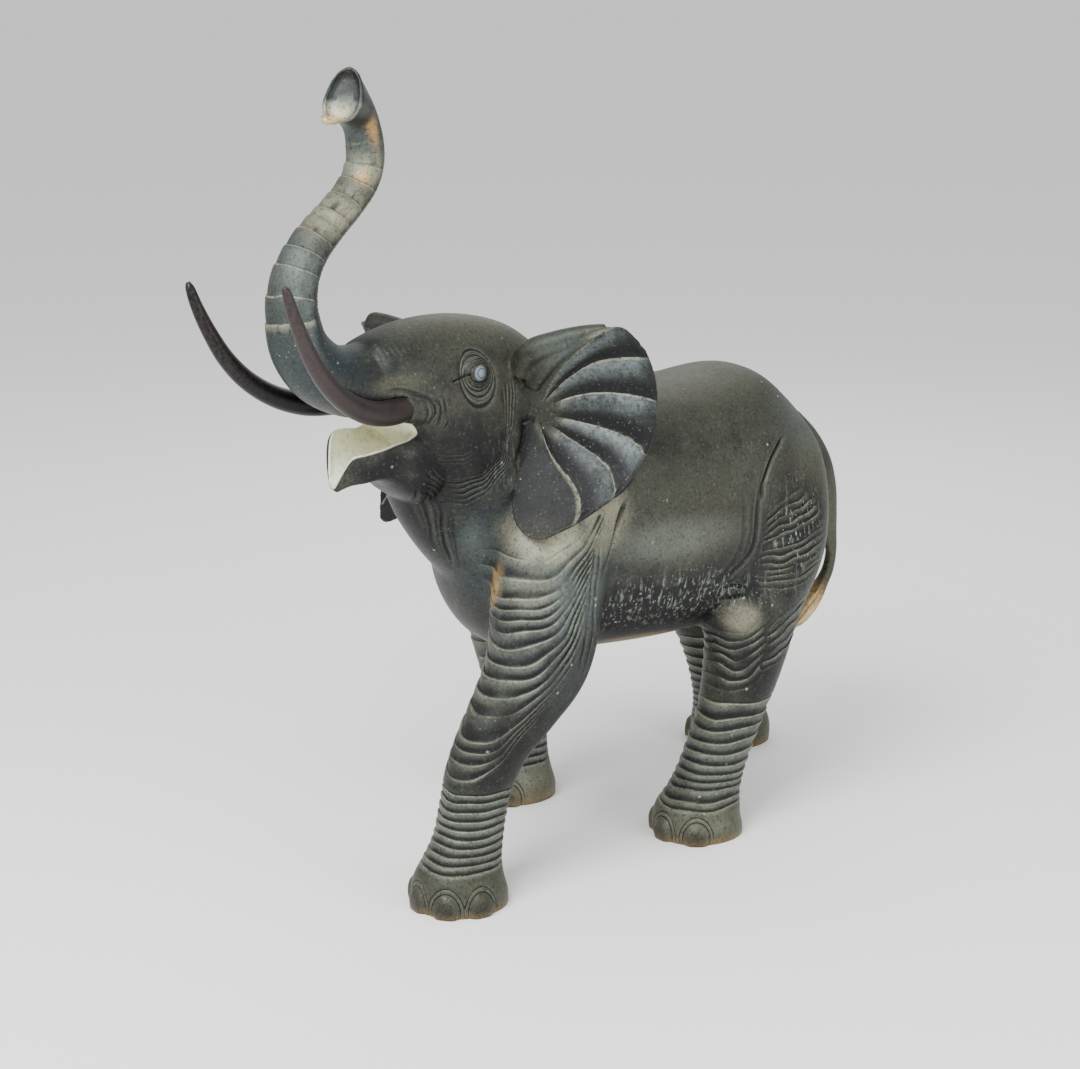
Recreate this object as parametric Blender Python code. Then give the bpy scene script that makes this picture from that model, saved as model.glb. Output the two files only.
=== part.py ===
"""A trumpeting elephant cast in bronze, about 1.3 m from its soles to the tip of its raised trunk.

There are three pieces: the elephant, one casting that is solid here, and its two tusks, which are
cast apart and let into sockets in the lip. The animal faces -Y, its left side is +X, and it walks:
its left fore foot and its right hind foot are the outer ones of the stride.
A mass is a row of stations that a loft runs through. The masses are fused by a voxel remesh, eased
as wax is, pressed with the folds of the hide, thinned, and cut flat under the soles.
"""
import math

import bmesh
import bpy
import numpy as np
from mathutils import Matrix, Vector

# Sizes in metres, angles in degrees. The modelling frame has its origin on the ground between
# the feet, and the whole is moved at the end so that its box is centred over the origin.
VOXEL = 0.0055
BODY_EASE = 24
SKIN_EASE = 4
EASE_SHARE = 0.5
TRIANGLES = 8300
SOCKET_GAP = 0.0004

HEAD_PIVOT = Vector((0.0, -0.25, 0.80))
HEAD_TURN = 7.0
HEAD_TILT = 5.0

# The barrel of the body: y, top z, bottom z, half width.
TORSO = (
    (-0.305, 0.570, 0.490, 0.045),
    (-0.280, 0.640, 0.420, 0.085),
    (-0.235, 0.695, 0.366, 0.120),
    (-0.165, 0.742, 0.338, 0.152),
    (-0.080, 0.768, 0.331, 0.182),
    (0.040, 0.760, 0.326, 0.201),
    (0.170, 0.769, 0.328, 0.206),
    (0.285, 0.777, 0.338, 0.190),
    (0.345, 0.742, 0.356, 0.166),
    (0.403, 0.686, 0.388, 0.129),
    (0.444, 0.622, 0.434, 0.086),
    (0.474, 0.566, 0.480, 0.040),
)
# Centre x, y, z, half width and half depth square to the path.
NECK = (
    (0.000, -0.060, 0.570, 0.148, 0.190),
    (0.000, -0.145, 0.607, 0.134, 0.193),
    (0.000, -0.211, 0.661, 0.114, 0.187),
    (0.005, -0.262, 0.722, 0.104, 0.169),
    (0.008, -0.286, 0.788, 0.096, 0.127),
)
# In the head's own frame, origin at the pivot: y, top z, bottom z, half width.
SKULL = (
    (0.130, 0.020, -0.060, 0.045),
    (0.104, 0.060, -0.110, 0.080),
    (0.054, 0.096, -0.165, 0.100),
    (-0.010, 0.115, -0.195, 0.106),
    (-0.070, 0.121, -0.190, 0.104),
    (-0.125, 0.119, -0.140, 0.096),
    (-0.175, 0.110, -0.060, 0.084),
    (-0.225, 0.096, -0.034, 0.070),
)
# The lower jaw, in the head's frame: y, top z, bottom z, half width.
JAW = (
    (-0.110, -0.032, -0.170, 0.070, 0.000),
    (-0.150, -0.032, -0.168, 0.072, 0.000),
    (-0.180, -0.034, -0.152, 0.070, 0.000),
    (-0.205, -0.037, -0.130, 0.063, 0.000),
    (-0.230, -0.044, -0.116, 0.055, -0.002),
    (-0.250, -0.052, -0.117, 0.047, -0.006),
    (-0.264, -0.063, -0.122, 0.038, -0.010),
    (-0.276, -0.092, -0.129, 0.024, -0.008),
    (-0.285, -0.118, -0.136, 0.010, -0.004),
)
# It hangs a little askew from its hinge, and its lip is let down on the left towards the tip.
JAW_HINGE = Vector((0.0, -0.18, -0.09))
JAW_ROLL = 8.0
LIP_SKEW = 0.35
LIP_FROM = -0.20
LIP_TO = -0.265
# What is taken out of the jaw to make it a scoop, in the same way.
SCOOP = (
    (-0.120, -0.020, -0.052, 0.024, 0.000),
    (-0.160, -0.010, -0.072, 0.048, 0.000),
    (-0.190, 0.000, -0.088, 0.055, 0.000),
    (-0.215, 0.000, -0.096, 0.050, 0.000),
    (-0.236, -0.010, -0.101, 0.042, -0.003),
    (-0.254, -0.020, -0.106, 0.033, -0.007),
    (-0.268, -0.035, -0.114, 0.023, -0.010),
    (-0.282, -0.060, -0.126, 0.012, -0.007),
    (-0.300, -0.080, -0.134, 0.005, -0.002),
)
# The sheath of hide that a tusk comes out of, on the left: x, y, z, half width, half depth.
SHEATH = (
    (0.062, -0.080, -0.010, 0.028, 0.034),
    (0.064, -0.120, -0.008, 0.031, 0.034),
    (0.066, -0.155, -0.008, 0.030, 0.031),
    (0.067, -0.182, -0.009, 0.026, 0.026),
    (0.068, -0.196, -0.009, 0.022, 0.022),
)
# The trunk, in the head's frame: x, y, z, half width, half depth, turn of the section.
TRUNK = (
    (0.000, -0.170, 0.030, 0.078, 0.074, 0.0),
    (0.000, -0.235, 0.028, 0.066, 0.066, 0.0),
    (0.000, -0.292, 0.048, 0.056, 0.056, -6.0),
    (0.000, -0.330, 0.092, 0.048, 0.049, -14.0),
    (0.000, -0.341, 0.140, 0.043, 0.044, -20.0),
    (0.000, -0.338, 0.180, 0.040, 0.040, -24.0),
    (0.000, -0.325, 0.214, 0.037, 0.037, -26.0),
    (0.000, -0.299, 0.248, 0.034, 0.034, -28.0),
    (0.000, -0.263, 0.279, 0.032, 0.032, -30.0),
    (0.000, -0.226, 0.308, 0.031, 0.030, -30.0),
    (0.000, -0.197, 0.337, 0.031, 0.030, -30.0),
    (0.000, -0.183, 0.367, 0.031, 0.030, -30.0),
    (0.000, -0.180, 0.397, 0.030, 0.029, -30.0),
    (0.002, -0.185, 0.421, 0.029, 0.030, -26.0),
    (0.008, -0.198, 0.441, 0.030, 0.034, -20.0),
    (0.018, -0.218, 0.456, 0.0315, 0.042, -12.0),
    (0.030, -0.239, 0.466, 0.033, 0.051, -4.0),
)
# A tusk, in the head's frame, for the left side: x, y, z, radius.
TUSK = (
    (0.066, -0.165, -0.006, 0.0195),
    (0.068, -0.193, -0.009, 0.0200),
    (0.073, -0.226, -0.011, 0.0202),
    (0.080, -0.268, -0.005, 0.0190),
    (0.088, -0.312, 0.014, 0.0172),
    (0.097, -0.352, 0.045, 0.0155),
    (0.105, -0.384, 0.084, 0.0138),
    (0.113, -0.408, 0.126, 0.0118),
    (0.120, -0.426, 0.165, 0.0098),
    (0.124, -0.437, 0.195, 0.0074),
    (0.125, -0.441, 0.206, 0.0035),
)
# How far each tusk bows forward between its ends, and how much higher each is let in, with its
# sheath, which fades out by this many stations from the root.
TUSK_BOW = {1: 0.0, -1: 0.014}
TUSK_LIFT = {1: 0.0, -1: 0.011}
LIFT_FADES_BY = 6
# Legs: x, y, z, half width, half depth, from the body down to just under the sole.
FORE_LEFT = (
    (0.070, -0.110, 0.690, 0.050, 0.060),
    (0.100, -0.130, 0.620, 0.078, 0.100),
    (0.124, -0.170, 0.540, 0.080, 0.100),
    (0.143, -0.202, 0.465, 0.075, 0.098),
    (0.150, -0.212, 0.415, 0.074, 0.096),
    (0.152, -0.229, 0.362, 0.070, 0.092),
    (0.156, -0.271, 0.306, 0.063, 0.076),
    (0.161, -0.315, 0.256, 0.058, 0.063),
    (0.165, -0.346, 0.206, 0.055, 0.058),
    (0.169, -0.364, 0.152, 0.054, 0.056),
    (0.173, -0.378, 0.096, 0.056, 0.058),
    (0.175, -0.389, 0.060, 0.064, 0.067),
    (0.177, -0.396, 0.028, 0.076, 0.079),
    (0.177, -0.396, 0.000, 0.075, 0.078),
    (0.177, -0.396, -0.030, 0.072, 0.075),
)
FORE_RIGHT = (
    (-0.070, -0.095, 0.690, 0.050, 0.060),
    (-0.100, -0.105, 0.620, 0.080, 0.104),
    (-0.124, -0.118, 0.540, 0.080, 0.100),
    (-0.140, -0.118, 0.460, 0.071, 0.086),
    (-0.143, -0.100, 0.385, 0.066, 0.077),
    (-0.148, -0.080, 0.310, 0.059, 0.067),
    (-0.157, -0.063, 0.235, 0.055, 0.058),
    (-0.164, -0.051, 0.160, 0.053, 0.054),
    (-0.170, -0.047, 0.100, 0.055, 0.055),
    (-0.173, -0.049, 0.062, 0.063, 0.064),
    (-0.174, -0.053, 0.028, 0.076, 0.078),
    (-0.174, -0.053, 0.000, 0.075, 0.077),
    (-0.174, -0.053, -0.030, 0.072, 0.074),
)
HIND_LEFT = (
    (0.060, 0.306, 0.700, 0.045, 0.050),
    (0.080, 0.306, 0.645, 0.080, 0.088),
    (0.106, 0.300, 0.570, 0.087, 0.104),
    (0.128, 0.280, 0.485, 0.085, 0.105),
    (0.142, 0.241, 0.400, 0.077, 0.089),
    (0.148, 0.218, 0.325, 0.068, 0.080),
    (0.150, 0.205, 0.275, 0.062, 0.072),
    (0.151, 0.187, 0.217, 0.058, 0.061),
    (0.154, 0.160, 0.158, 0.055, 0.057),
    (0.157, 0.133, 0.100, 0.056, 0.058),
    (0.160, 0.116, 0.058, 0.065, 0.067),
    (0.160, 0.106, 0.028, 0.076, 0.079),
    (0.160, 0.106, 0.000, 0.075, 0.078),
    (0.160, 0.106, -0.030, 0.072, 0.075),
)
HIND_RIGHT = (
    (-0.060, 0.314, 0.700, 0.045, 0.050),
    (-0.080, 0.322, 0.645, 0.080, 0.094),
    (-0.106, 0.338, 0.570, 0.089, 0.116),
    (-0.128, 0.342, 0.485, 0.084, 0.116),
    (-0.142, 0.342, 0.400, 0.075, 0.101),
    (-0.150, 0.354, 0.325, 0.066, 0.085),
    (-0.155, 0.378, 0.250, 0.059, 0.067),
    (-0.162, 0.403, 0.180, 0.055, 0.058),
    (-0.168, 0.425, 0.110, 0.056, 0.057),
    (-0.173, 0.440, 0.062, 0.064, 0.066),
    (-0.175, 0.450, 0.028, 0.076, 0.079),
    (-0.175, 0.450, 0.000, 0.075, 0.078),
    (-0.175, 0.450, -0.030, 0.072, 0.075),
)
# The tail hangs close behind the rump and swings to the right: x, y, z, half width, half depth.
TAIL = (
    (0.000, 0.425, 0.655, 0.030, 0.026),
    (0.000, 0.468, 0.616, 0.024, 0.026),
    (0.000, 0.501, 0.568, 0.019, 0.027),
    (0.000, 0.518, 0.520, 0.014, 0.027),
    (0.000, 0.525, 0.474, 0.011, 0.025),
    (0.000, 0.533, 0.434, 0.010, 0.018),
    (0.000, 0.540, 0.398, 0.010, 0.011),
    (0.000, 0.534, 0.364, 0.011, 0.011),
    (0.000, 0.521, 0.341, 0.013, 0.012),
    (0.000, 0.504, 0.319, 0.018, 0.015),
    (0.000, 0.485, 0.297, 0.019, 0.015),
    (0.000, 0.467, 0.276, 0.013, 0.011),
    (0.000, 0.456, 0.264, 0.005, 0.005),
)
# An ear is a sheet round its hub, where the ribs meet. It leans back as it goes out, and cups
# forward above and below. Its outline is an angle from straight out, up positive, and a reach.
EAR_HUB = Vector((0.118, 0.046, -0.045))
EAR_LEAN = {1: 0.75, -1: -0.05}
EAR_CUP = 3.0
EAR_THICKNESS = 0.013
EAR_RINGS = 9
EAR_RIM = (
    (-105.0, 0.105),
    (-94.0, 0.141),
    (-86.0, 0.170),
    (-75.5, 0.196),
    (-67.0, 0.194),
    (-54.0, 0.182),
    (-42.0, 0.175),
    (-32.5, 0.160),
    (-10.0, 0.147),
    (5.5, 0.148),
    (23.0, 0.163),
    (35.0, 0.182),
    (44.0, 0.194),
    (48.5, 0.183),
    (54.0, 0.165),
    (66.0, 0.133),
    (90.0, 0.100),
    (150.0, 0.050),
    (200.0, 0.045),
)
# The rolled edge along the top of an ear: out from the hub, up from it, radius. The right one
# swells as it goes out.
EAR_ROLL = (
    (-0.020, 0.066, 0.020),
    (0.006, 0.098, 0.021),
    (0.045, 0.114, 0.019),
    (0.085, 0.126, 0.015),
    (0.118, 0.133, 0.010),
)
EAR_ROLL_SWELL = {1: 0.0, -1: 0.10}
# An ear's ribs: the angle of each at the hub and at the rim, from the lowest up.
EAR_RIBS = (
    (-118.0, -96.0),
    (-84.0, -66.0),
    (-60.0, -46.0),
    (-20.0, -26.0),
    (33.0, 5.0),
    (62.0, 31.0),
    (90.0, 58.0),
)
EAR_DEPTH = 0.006
LOBE_SHARPNESS = 0.8
# The share of the reach between which the lobes are pressed, and what counts as an ear's front.
LOBE_FROM = 0.22
LOBE_TO = 0.93
LOBE_SOFT = 0.1
EAR_FRONT_DEEP = 0.02
EAR_FROM_X = 0.10
EYE_SHOWS_FROM = 0.06
EYE_SHOWS_BY = 0.08
EYE = Vector((0.100, -0.069, 0.032))
LID_IN = 0.004
EYE_BALL = 0.0115
LID_SIZE = (0.012, 0.024, 0.026)
TRUNK_FLAT = 0.22
TRUNK_EGG = 0.18
# The pad of the lower lip under the trunk's end, in the head's frame, and its half sizes.
TRUNK_LIP = Vector((0.018, -0.257, 0.436))
TRUNK_LIP_SIZE = (0.021, 0.013, 0.010)
# Where the rings cross the trunk, as lengths along its path.
TRUNK_RINGS = (0.204, 0.235, 0.269, 0.309, 0.336, 0.367, 0.392, 0.412, 0.447, 0.481, 0.515, 0.549)
TRUNK_DEPTH = 0.003
TRUNK_SHARPNESS = 0.5
TRUNK_SKIN = 1.3
FOLD_SOFT = 0.01
NAIL_MIDDLE = 0.013
NAIL_TALL = 0.028
NAIL_HALF_WIDTH = 0.021
NAIL_PROUD = 0.009
NAIL_GROOVE = 0.0035
NAIL_EDGE = (1.05, 1.15, 0.12)
FOOT_REACH = 0.077
TOES = (
    (FORE_LEFT, (-50.0, -5.0, 40.0, 85.0)),
    (FORE_RIGHT, (-85.0, -40.0, 5.0, 50.0)),
    (HIND_LEFT, (-50.0, 0.0, 50.0)),
    (HIND_RIGHT, (-50.0, 0.0, 50.0)),
)
# The heights of the lowest points of the drapes on a fore leg, from the top, and the turn round
# the leg where they hang lowest.
FORE_DRAPES = (0.542, 0.510, 0.483, 0.456, 0.429, 0.406, 0.379, 0.356, 0.329, 0.301)
DRAPE_TURN = 30.0
# From there they rise by these much, behind and in front, for the square of each 60 degrees.
DRAPE_SPAN = 60.0
DRAPE_OUTER = 0.055
DRAPE_FRONT = 0.012
DRAPE_REACH = (-1.6, 1.3, 0.4)
DRAPE_DEPTH = 0.005
FOLD_SHARPNESS = 0.6
# Each leg, its side, then the lowest and highest of the rings round its shank.
SHANKS = (
    (FORE_LEFT, 1, 0.078, 0.192),
    (FORE_RIGHT, -1, 0.078, 0.220),
    (HIND_LEFT, 1, 0.068, 0.236),
    (HIND_RIGHT, -1, 0.068, 0.236),
)
RING_SPACING = 0.028
RING_DEPTH = 0.0038
RING_REACH = (-110, 150, 40)
# How far off a limb's axis its own skin is, as a share of its half width, and the softness.
LIMB_SKIN = 1.25
LIMB_SOFT = 0.15
# Folds that run over a flank or a cheek, each family from its first line to its last, as y, z
# seen from the side: how many lines, how wide and how deep each is.
HIP_GROOVE = ((0.268, 0.674), (0.231, 0.651), (0.205, 0.615), (0.198, 0.580))
FLANK_LINE = ((0.214, 0.669), (0.193, 0.595), (0.186, 0.545), (0.176, 0.492), (0.148, 0.456))
THIGH_TOP = ((0.197, 0.552), (0.225, 0.567), (0.268, 0.584))
THIGH_LOW = ((0.188, 0.428), (0.236, 0.430), (0.305, 0.452))
KNEE_TOP = ((0.132, 0.392), (0.143, 0.356), (0.160, 0.348), (0.182, 0.362), (0.205, 0.410))
KNEE_LOW = ((0.126, 0.300), (0.140, 0.254), (0.163, 0.246), (0.203, 0.284), (0.268, 0.376))
SHOULDER_BACK = ((-0.066, 0.620), (-0.087, 0.586), (-0.106, 0.540), (-0.137, 0.500))
SHOULDER_FRONT = ((-0.130, 0.600), (-0.142, 0.562), (-0.150, 0.530), (-0.157, 0.490))
NECK_FRONT = ((-0.389, 0.611), (-0.350, 0.561), (-0.320, 0.514))
NECK_BACK = ((-0.330, 0.616), (-0.322, 0.571), (-0.309, 0.525))
BODY_FOLDS = (
    (HIP_GROOVE, HIP_GROOVE, 1, 0.009, 0.009),
    (FLANK_LINE, FLANK_LINE, 1, 0.012, 0.006),
    (THIGH_TOP, THIGH_LOW, 5, 0.009, 0.006),
    (KNEE_TOP, KNEE_LOW, 4, 0.009, 0.006),
    (SHOULDER_BACK, SHOULDER_FRONT, 3, 0.009, 0.005),
    (NECK_FRONT, NECK_BACK, 2, 0.010, 0.005),
)
# The same in the head's frame.
CHEEK_INNER = (
    (-0.145, -0.086),
    (-0.127, -0.096),
    (-0.108, -0.100),
    (-0.090, -0.096),
    (-0.066, -0.080),
    (-0.046, -0.050),
    (-0.036, 0.000),
)
CHEEK_OUTER = (
    (-0.205, -0.122),
    (-0.160, -0.152),
    (-0.114, -0.176),
    (-0.080, -0.182),
    (-0.045, -0.158),
    (-0.014, -0.105),
    (0.002, 0.000),
)
MUZZLE_FRONT = ((-0.186, 0.010), (-0.179, -0.010), (-0.176, -0.030), (-0.176, -0.045))
MUZZLE_BACK = ((-0.127, 0.004), (-0.119, -0.018), (-0.120, -0.038), (-0.131, -0.058))
HEAD_FOLDS = (
    (CHEEK_INNER, CHEEK_OUTER, 4, 0.008, 0.004),
    (MUZZLE_FRONT, MUZZLE_BACK, 3, 0.006, 0.003),
)
# Folds fade out towards each end of their line, and towards the middle of the body.
FOLD_ENDS = 0.12
FOLD_CLEAR = 0.035
# The hind right leg stands this much farther back than the left.
HIND_STEP = 0.045
# The lids round an eye: the innermost and outermost ring, each as y, z, half width and half height.
LID_INNER = (-0.069, 0.031, 0.021, 0.0150)
LID_OUTER = (-0.068, 0.020, 0.034, 0.0410)
LID_RINGS = 2
LID_WIDTH = 0.004
LID_DEPTH = 0.004
# The dish in the end of the trunk: how far beyond the end each step of what is taken out lies, and
# its share of the end's own size. It lies above the end's middle, so that its lip is thicker.
TRUNK_DISH = ((-0.010, 0.42), (-0.008, 0.66), (-0.001, 0.82), (0.020, 0.95))
DISH_RISE = 0.003
# Colours as hex, then how rough and how metallic each bronze is.
HIDE_BRONZE = ("3B423E", 0.48, 0.75)
TUSK_BRONZE = ("2C2622", 0.34, 0.85)
SRGB_KNEE = 0.04045


def clear_scene():
    for obj in list(bpy.data.objects):
        bpy.data.objects.remove(obj, do_unlink=True)


def spline(rows, steps):
    """Rows of numbers eased through by a Catmull-Rom curve, with this many steps between two."""
    rows = np.array(rows, float)
    padded = np.vstack((2 * rows[0] - rows[1], rows, 2 * rows[-1] - rows[-2]))
    out = []
    for first in range(len(rows) - 1):
        a, b, c, d = padded[first : first + 4]
        for t in np.linspace(0, 1, steps, endpoint=False):
            out.append(
                0.5 * (2 * b + (c - a) * t + (2 * a - 5 * b + 4 * c - d) * t**2)
                + 0.5 * (3 * b - a - 3 * c + d) * t**3
            )
    out.append(rows[-1])
    return np.array(out)


def closed_rim(rows, steps):
    """The same curve through angle and reach rows that come round to their start."""
    rows = np.array(rows, float)
    turn = np.array([360.0, 0.0])
    padded = np.vstack((rows[-2:] - turn, rows, rows[:2] + turn))
    eased = spline(padded, steps)
    return eased[2 * steps : (len(rows) + 2) * steps]


def skin(rings, matrix=None):
    """A closed bmesh over rings of points, with equal counts, bridged one to the next."""
    bm = bmesh.new()
    loops = []
    for points in rings:
        made = bmesh.ops.create_circle(bm, segments=len(points), radius=1.0)["verts"]
        for vert, point in zip(made, points):
            vert.co = Vector(point)
        loops.append(list({edge for vert in made for edge in vert.link_edges}))
    for first, second in zip(loops, loops[1:]):
        bmesh.ops.bridge_loops(bm, edges=first + second)
    bmesh.ops.contextual_create(bm, geom=loops[0])
    bmesh.ops.contextual_create(bm, geom=loops[-1])
    bmesh.ops.recalc_face_normals(bm, faces=bm.faces)
    if matrix is not None:
        bmesh.ops.transform(bm, matrix=matrix, verts=bm.verts)
    return bm


def section(count, fullness, flat=0.0, egg=0.0):
    """A unit section round the path: an ellipse, fuller at its corners, flatter and wider in front."""
    angle = np.arange(count) * 2 * np.pi / count
    wide, deep = np.cos(angle), np.sin(angle)
    power = 2 / fullness
    wide = np.sign(wide) * abs(wide) ** power
    deep = np.sign(deep) * abs(deep) ** power
    return wide * (1 + egg * deep), np.where(deep > 0, deep * (1 - flat), deep)


def swept(
    stations,
    steps,
    count=28,
    fullness=2.1,
    flat=0.0,
    egg=0.0,
    matrix=None,
    across=(1.0, 0.0, 0.0),
):
    """A loft along x, y, z stations, each with half width, half depth and perhaps a turn."""
    rows = spline(stations, steps)
    centres = rows[:, :3]
    tangents = np.gradient(centres, axis=0)
    tangents /= np.linalg.norm(tangents, axis=1)[:, None]
    wide, deep = section(count, fullness, flat, egg)
    rings = []
    for row, tangent in zip(rows, tangents):
        side = np.array(across) - np.dot(across, tangent) * tangent
        side /= np.linalg.norm(side)
        front = np.cross(side, tangent)
        if len(row) > 5:
            turn = math.radians(row[5])
            side, front = (
                side * math.cos(turn) + front * math.sin(turn),
                front * math.cos(turn) - side * math.sin(turn),
            )
        rings.append(
            row[:3] + np.outer(wide * row[3], side) + np.outer(deep * row[4], front)
        )
    return skin(rings, matrix)


def barrel(profile, steps, count=36, fullness=2.3, matrix=None):
    """A loft along Y through upright sections: y, top z, bottom z, half width, middle x if not 0."""
    wide, deep = section(count, fullness)
    rings = []
    for y, top, bottom, half, *aside in spline(profile, steps):
        middle, reach = (top + bottom) / 2, (top - bottom) / 2
        x = wide * half + sum(aside)
        rings.append(np.stack([x, np.full(count, y), middle + deep * reach], axis=1))
    return skin(rings, matrix)


def ball(centre, size, matrix):
    """An ellipsoid of three half sizes."""
    bm = bmesh.new()
    place = matrix @ Matrix.Translation(centre) @ Matrix.Diagonal((*size, 1.0))
    bmesh.ops.create_uvsphere(bm, u_segments=24, v_segments=14, radius=1.0, matrix=place)
    return bm


def head_place():
    """The head's own frame, turned a little to its left and tilted down on its right."""
    turn = Matrix.Rotation(math.radians(HEAD_TURN), 4, "Z")
    tilt = Matrix.Rotation(math.radians(-HEAD_TILT), 4, "Y")
    return Matrix.Translation(HEAD_PIVOT) @ turn @ tilt


def jaw_place():
    """The jaw's own frame, which hangs a little askew, lower on its left."""
    roll = Matrix.Rotation(math.radians(JAW_ROLL), 4, "Y")
    hinged = Matrix.Translation(JAW_HINGE) @ roll @ Matrix.Translation(-JAW_HINGE)
    return head_place() @ hinged


def ear(side, matrix):
    """A flared sheet round the hub: rings out over its front face, round the rim and back."""
    rim = closed_rim(EAR_RIM, 4)
    angle = np.radians(rim[:, 0])
    rings = []
    layers = [(k / EAR_RINGS, 1.0) for k in range(1, EAR_RINGS)] + [(1.0, 0.5), (1.0, -0.5)]
    layers += [(k / EAR_RINGS, -1.0) for k in range(EAR_RINGS - 1, 0, -1)]
    for share, face in layers:
        out = rim[:, 1] * share * np.cos(angle)
        up = rim[:, 1] * share * np.sin(angle)
        back = sheet_back(out, up, side) - face * EAR_THICKNESS / 2
        rings.append(
            np.stack([side * (EAR_HUB.x + out), EAR_HUB.y + back, EAR_HUB.z + up], axis=1)
        )
    return skin(rings, matrix)


def sheet_back(out, up, side):
    """How far behind its hub an ear's sheet lies."""
    return EAR_LEAN[side] * out - EAR_CUP * up * up


def ear_roll(side, matrix):
    rows = []
    for out, up, radius in EAR_ROLL:
        y = EAR_HUB.y + sheet_back(out, up, side)
        round_edge = radius + EAR_ROLL_SWELL[side] * max(out, 0.0)
        rows.append((out + EAR_HUB.x, y, up + EAR_HUB.z, round_edge, round_edge))
    return swept(mirrored(rows, side), 3, count=14, matrix=matrix, across=(0.0, 1.0, 0.0))


def mirrored(stations, side, lift=0.0):
    """The stations with x turned to the side, 1 for left and -1 for right, and lifted."""
    return [(side * row[0], row[1], row[2] + lift, *row[3:]) for row in stations]


def tusk_form(side, matrix, grow=0.0):
    """A tusk, or what is cut out for it when it is grown by the gap, root end too."""
    rows = []
    for number, (x, y, z, radius) in enumerate(mirrored(TUSK, side)):
        bow = TUSK_BOW[side] * math.sin(math.pi * number / (len(TUSK) - 1)) ** 2
        lift = TUSK_LIFT[side] * max(0.0, 1 - number / LIFT_FADES_BY)
        root = grow if number == 0 else 0.0
        rows.append((x, y - bow + root, z + lift, radius + grow, radius + grow))
    return swept(rows, 2, count=12, fullness=2.0, matrix=matrix)


def trunk_dish(matrix):
    """What is taken out of the end of the trunk."""
    end, before = np.array(TRUNK[-1]), np.array(TRUNK[-2])
    way = (end - before)[:3] / np.linalg.norm((end - before)[:3])
    middle = end[:3] + np.array([0.0, 0.0, DISH_RISE])
    rows = [(*(middle + way * off), *(end[3:5] * share), end[5]) for off, share in TRUNK_DISH]
    return swept(rows, 2, count=18, egg=TRUNK_EGG, matrix=matrix)


def body_masses():
    """The barrel, neck, skull and legs, which flow into each other."""
    forms = [barrel(TORSO, 4), swept(NECK, 4), barrel(SKULL, 4, matrix=head_place())]
    return forms + [swept(leg, 4) for leg in (FORE_LEFT, FORE_RIGHT, HIND_LEFT, HIND_RIGHT)]


def added_masses(body, jaw):
    """The body and what is crisper on it."""
    head = head_place()
    forms = [
        body,
        jaw,
        swept(TRUNK, 4, flat=TRUNK_FLAT, egg=TRUNK_EGG, matrix=head),
        swept(TAIL, 3, count=16),
    ]
    forms.append(ball(TRUNK_LIP, TRUNK_LIP_SIZE, head))
    for side in (1, -1):
        forms.append(ear(side, head))
        forms.append(ear_roll(side, head))
        forms.append(swept(mirrored(SHEATH, side, TUSK_LIFT[side]), 3, count=20, matrix=head))
        forms.append(ball((side * EYE.x, EYE.y, EYE.z), (EYE_BALL,) * 3, head))
        forms.append(ball((side * (EYE.x - LID_IN), EYE.y, EYE.z), LID_SIZE, head))
    return forms


def joined(name, forms):
    """One object from several bmeshes."""
    whole = bmesh.new()
    for form in forms:
        held = bpy.data.meshes.new("held")
        form.to_mesh(held)
        form.free()
        whole.from_mesh(held)
        bpy.data.meshes.remove(held)
    mesh = bpy.data.meshes.new(name)
    whole.to_mesh(mesh)
    whole.free()
    obj = bpy.data.objects.new(name, mesh)
    bpy.context.scene.collection.objects.link(obj)
    return obj


def bake(obj):
    """Takes the object's modifiers into its mesh."""
    graph = bpy.context.evaluated_depsgraph_get()
    old = obj.data
    obj.data = bpy.data.meshes.new_from_object(obj.evaluated_get(graph))
    obj.modifiers.clear()
    bpy.data.meshes.remove(old)


def cut(obj, forms):
    """Takes the forms out of the object."""
    cutter = joined("cutter", forms)
    take = obj.modifiers.new("take", "BOOLEAN")
    take.operation = "DIFFERENCE"
    take.solver = "EXACT"
    take.object = cutter
    bake(obj)
    bpy.data.objects.remove(cutter, do_unlink=True)


def taken(obj):
    """The object's mesh as a bmesh, and the object gone."""
    bm = bmesh.new()
    bm.from_mesh(obj.data)
    bpy.data.objects.remove(obj, do_unlink=True)
    return bm


def skewed_lip(bm):
    """The jaw's form with its tip let down on the left, put in its place on the head."""
    for vert in bm.verts:
        share = 1 - float(smoothstep(vert.co.y, LIP_TO, LIP_FROM))
        vert.co.z -= LIP_SKEW * share * vert.co.x
    bmesh.ops.transform(bm, matrix=jaw_place(), verts=bm.verts)
    return bm


def scooped_jaw():
    """The lower jaw, hollowed like a spoon, its tip lower on the left."""
    jaw = joined("jaw", [skewed_lip(barrel(JAW, 4, fullness=2.6))])
    cut(jaw, [skewed_lip(barrel(SCOOP, 4, fullness=2.0))])
    return taken(jaw)


def fuse(obj, rounds):
    """Makes one skin of the object's shells and eases it."""
    remesh = obj.modifiers.new("fuse", "REMESH")
    remesh.mode = "VOXEL"
    remesh.voxel_size = VOXEL
    ease = obj.modifiers.new("ease", "SMOOTH")
    ease.factor = EASE_SHARE
    ease.iterations = rounds
    bake(obj)


def thin(obj, triangles):
    obj.data.calc_loop_triangles()
    collapse = obj.modifiers.new("thin", "DECIMATE")
    collapse.ratio = triangles / len(obj.data.loop_triangles)
    bake(obj)


def smoothstep(value, low, high):
    share = np.clip((value - low) / (high - low), 0, 1)
    return share * share * (3 - 2 * share)


def window(value, low, high, soft):
    """1 between low and high, easing to 0 over the soft length outside them."""
    return smoothstep(value, low - soft, low) * (1 - smoothstep(value, high, high + soft))


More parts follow.
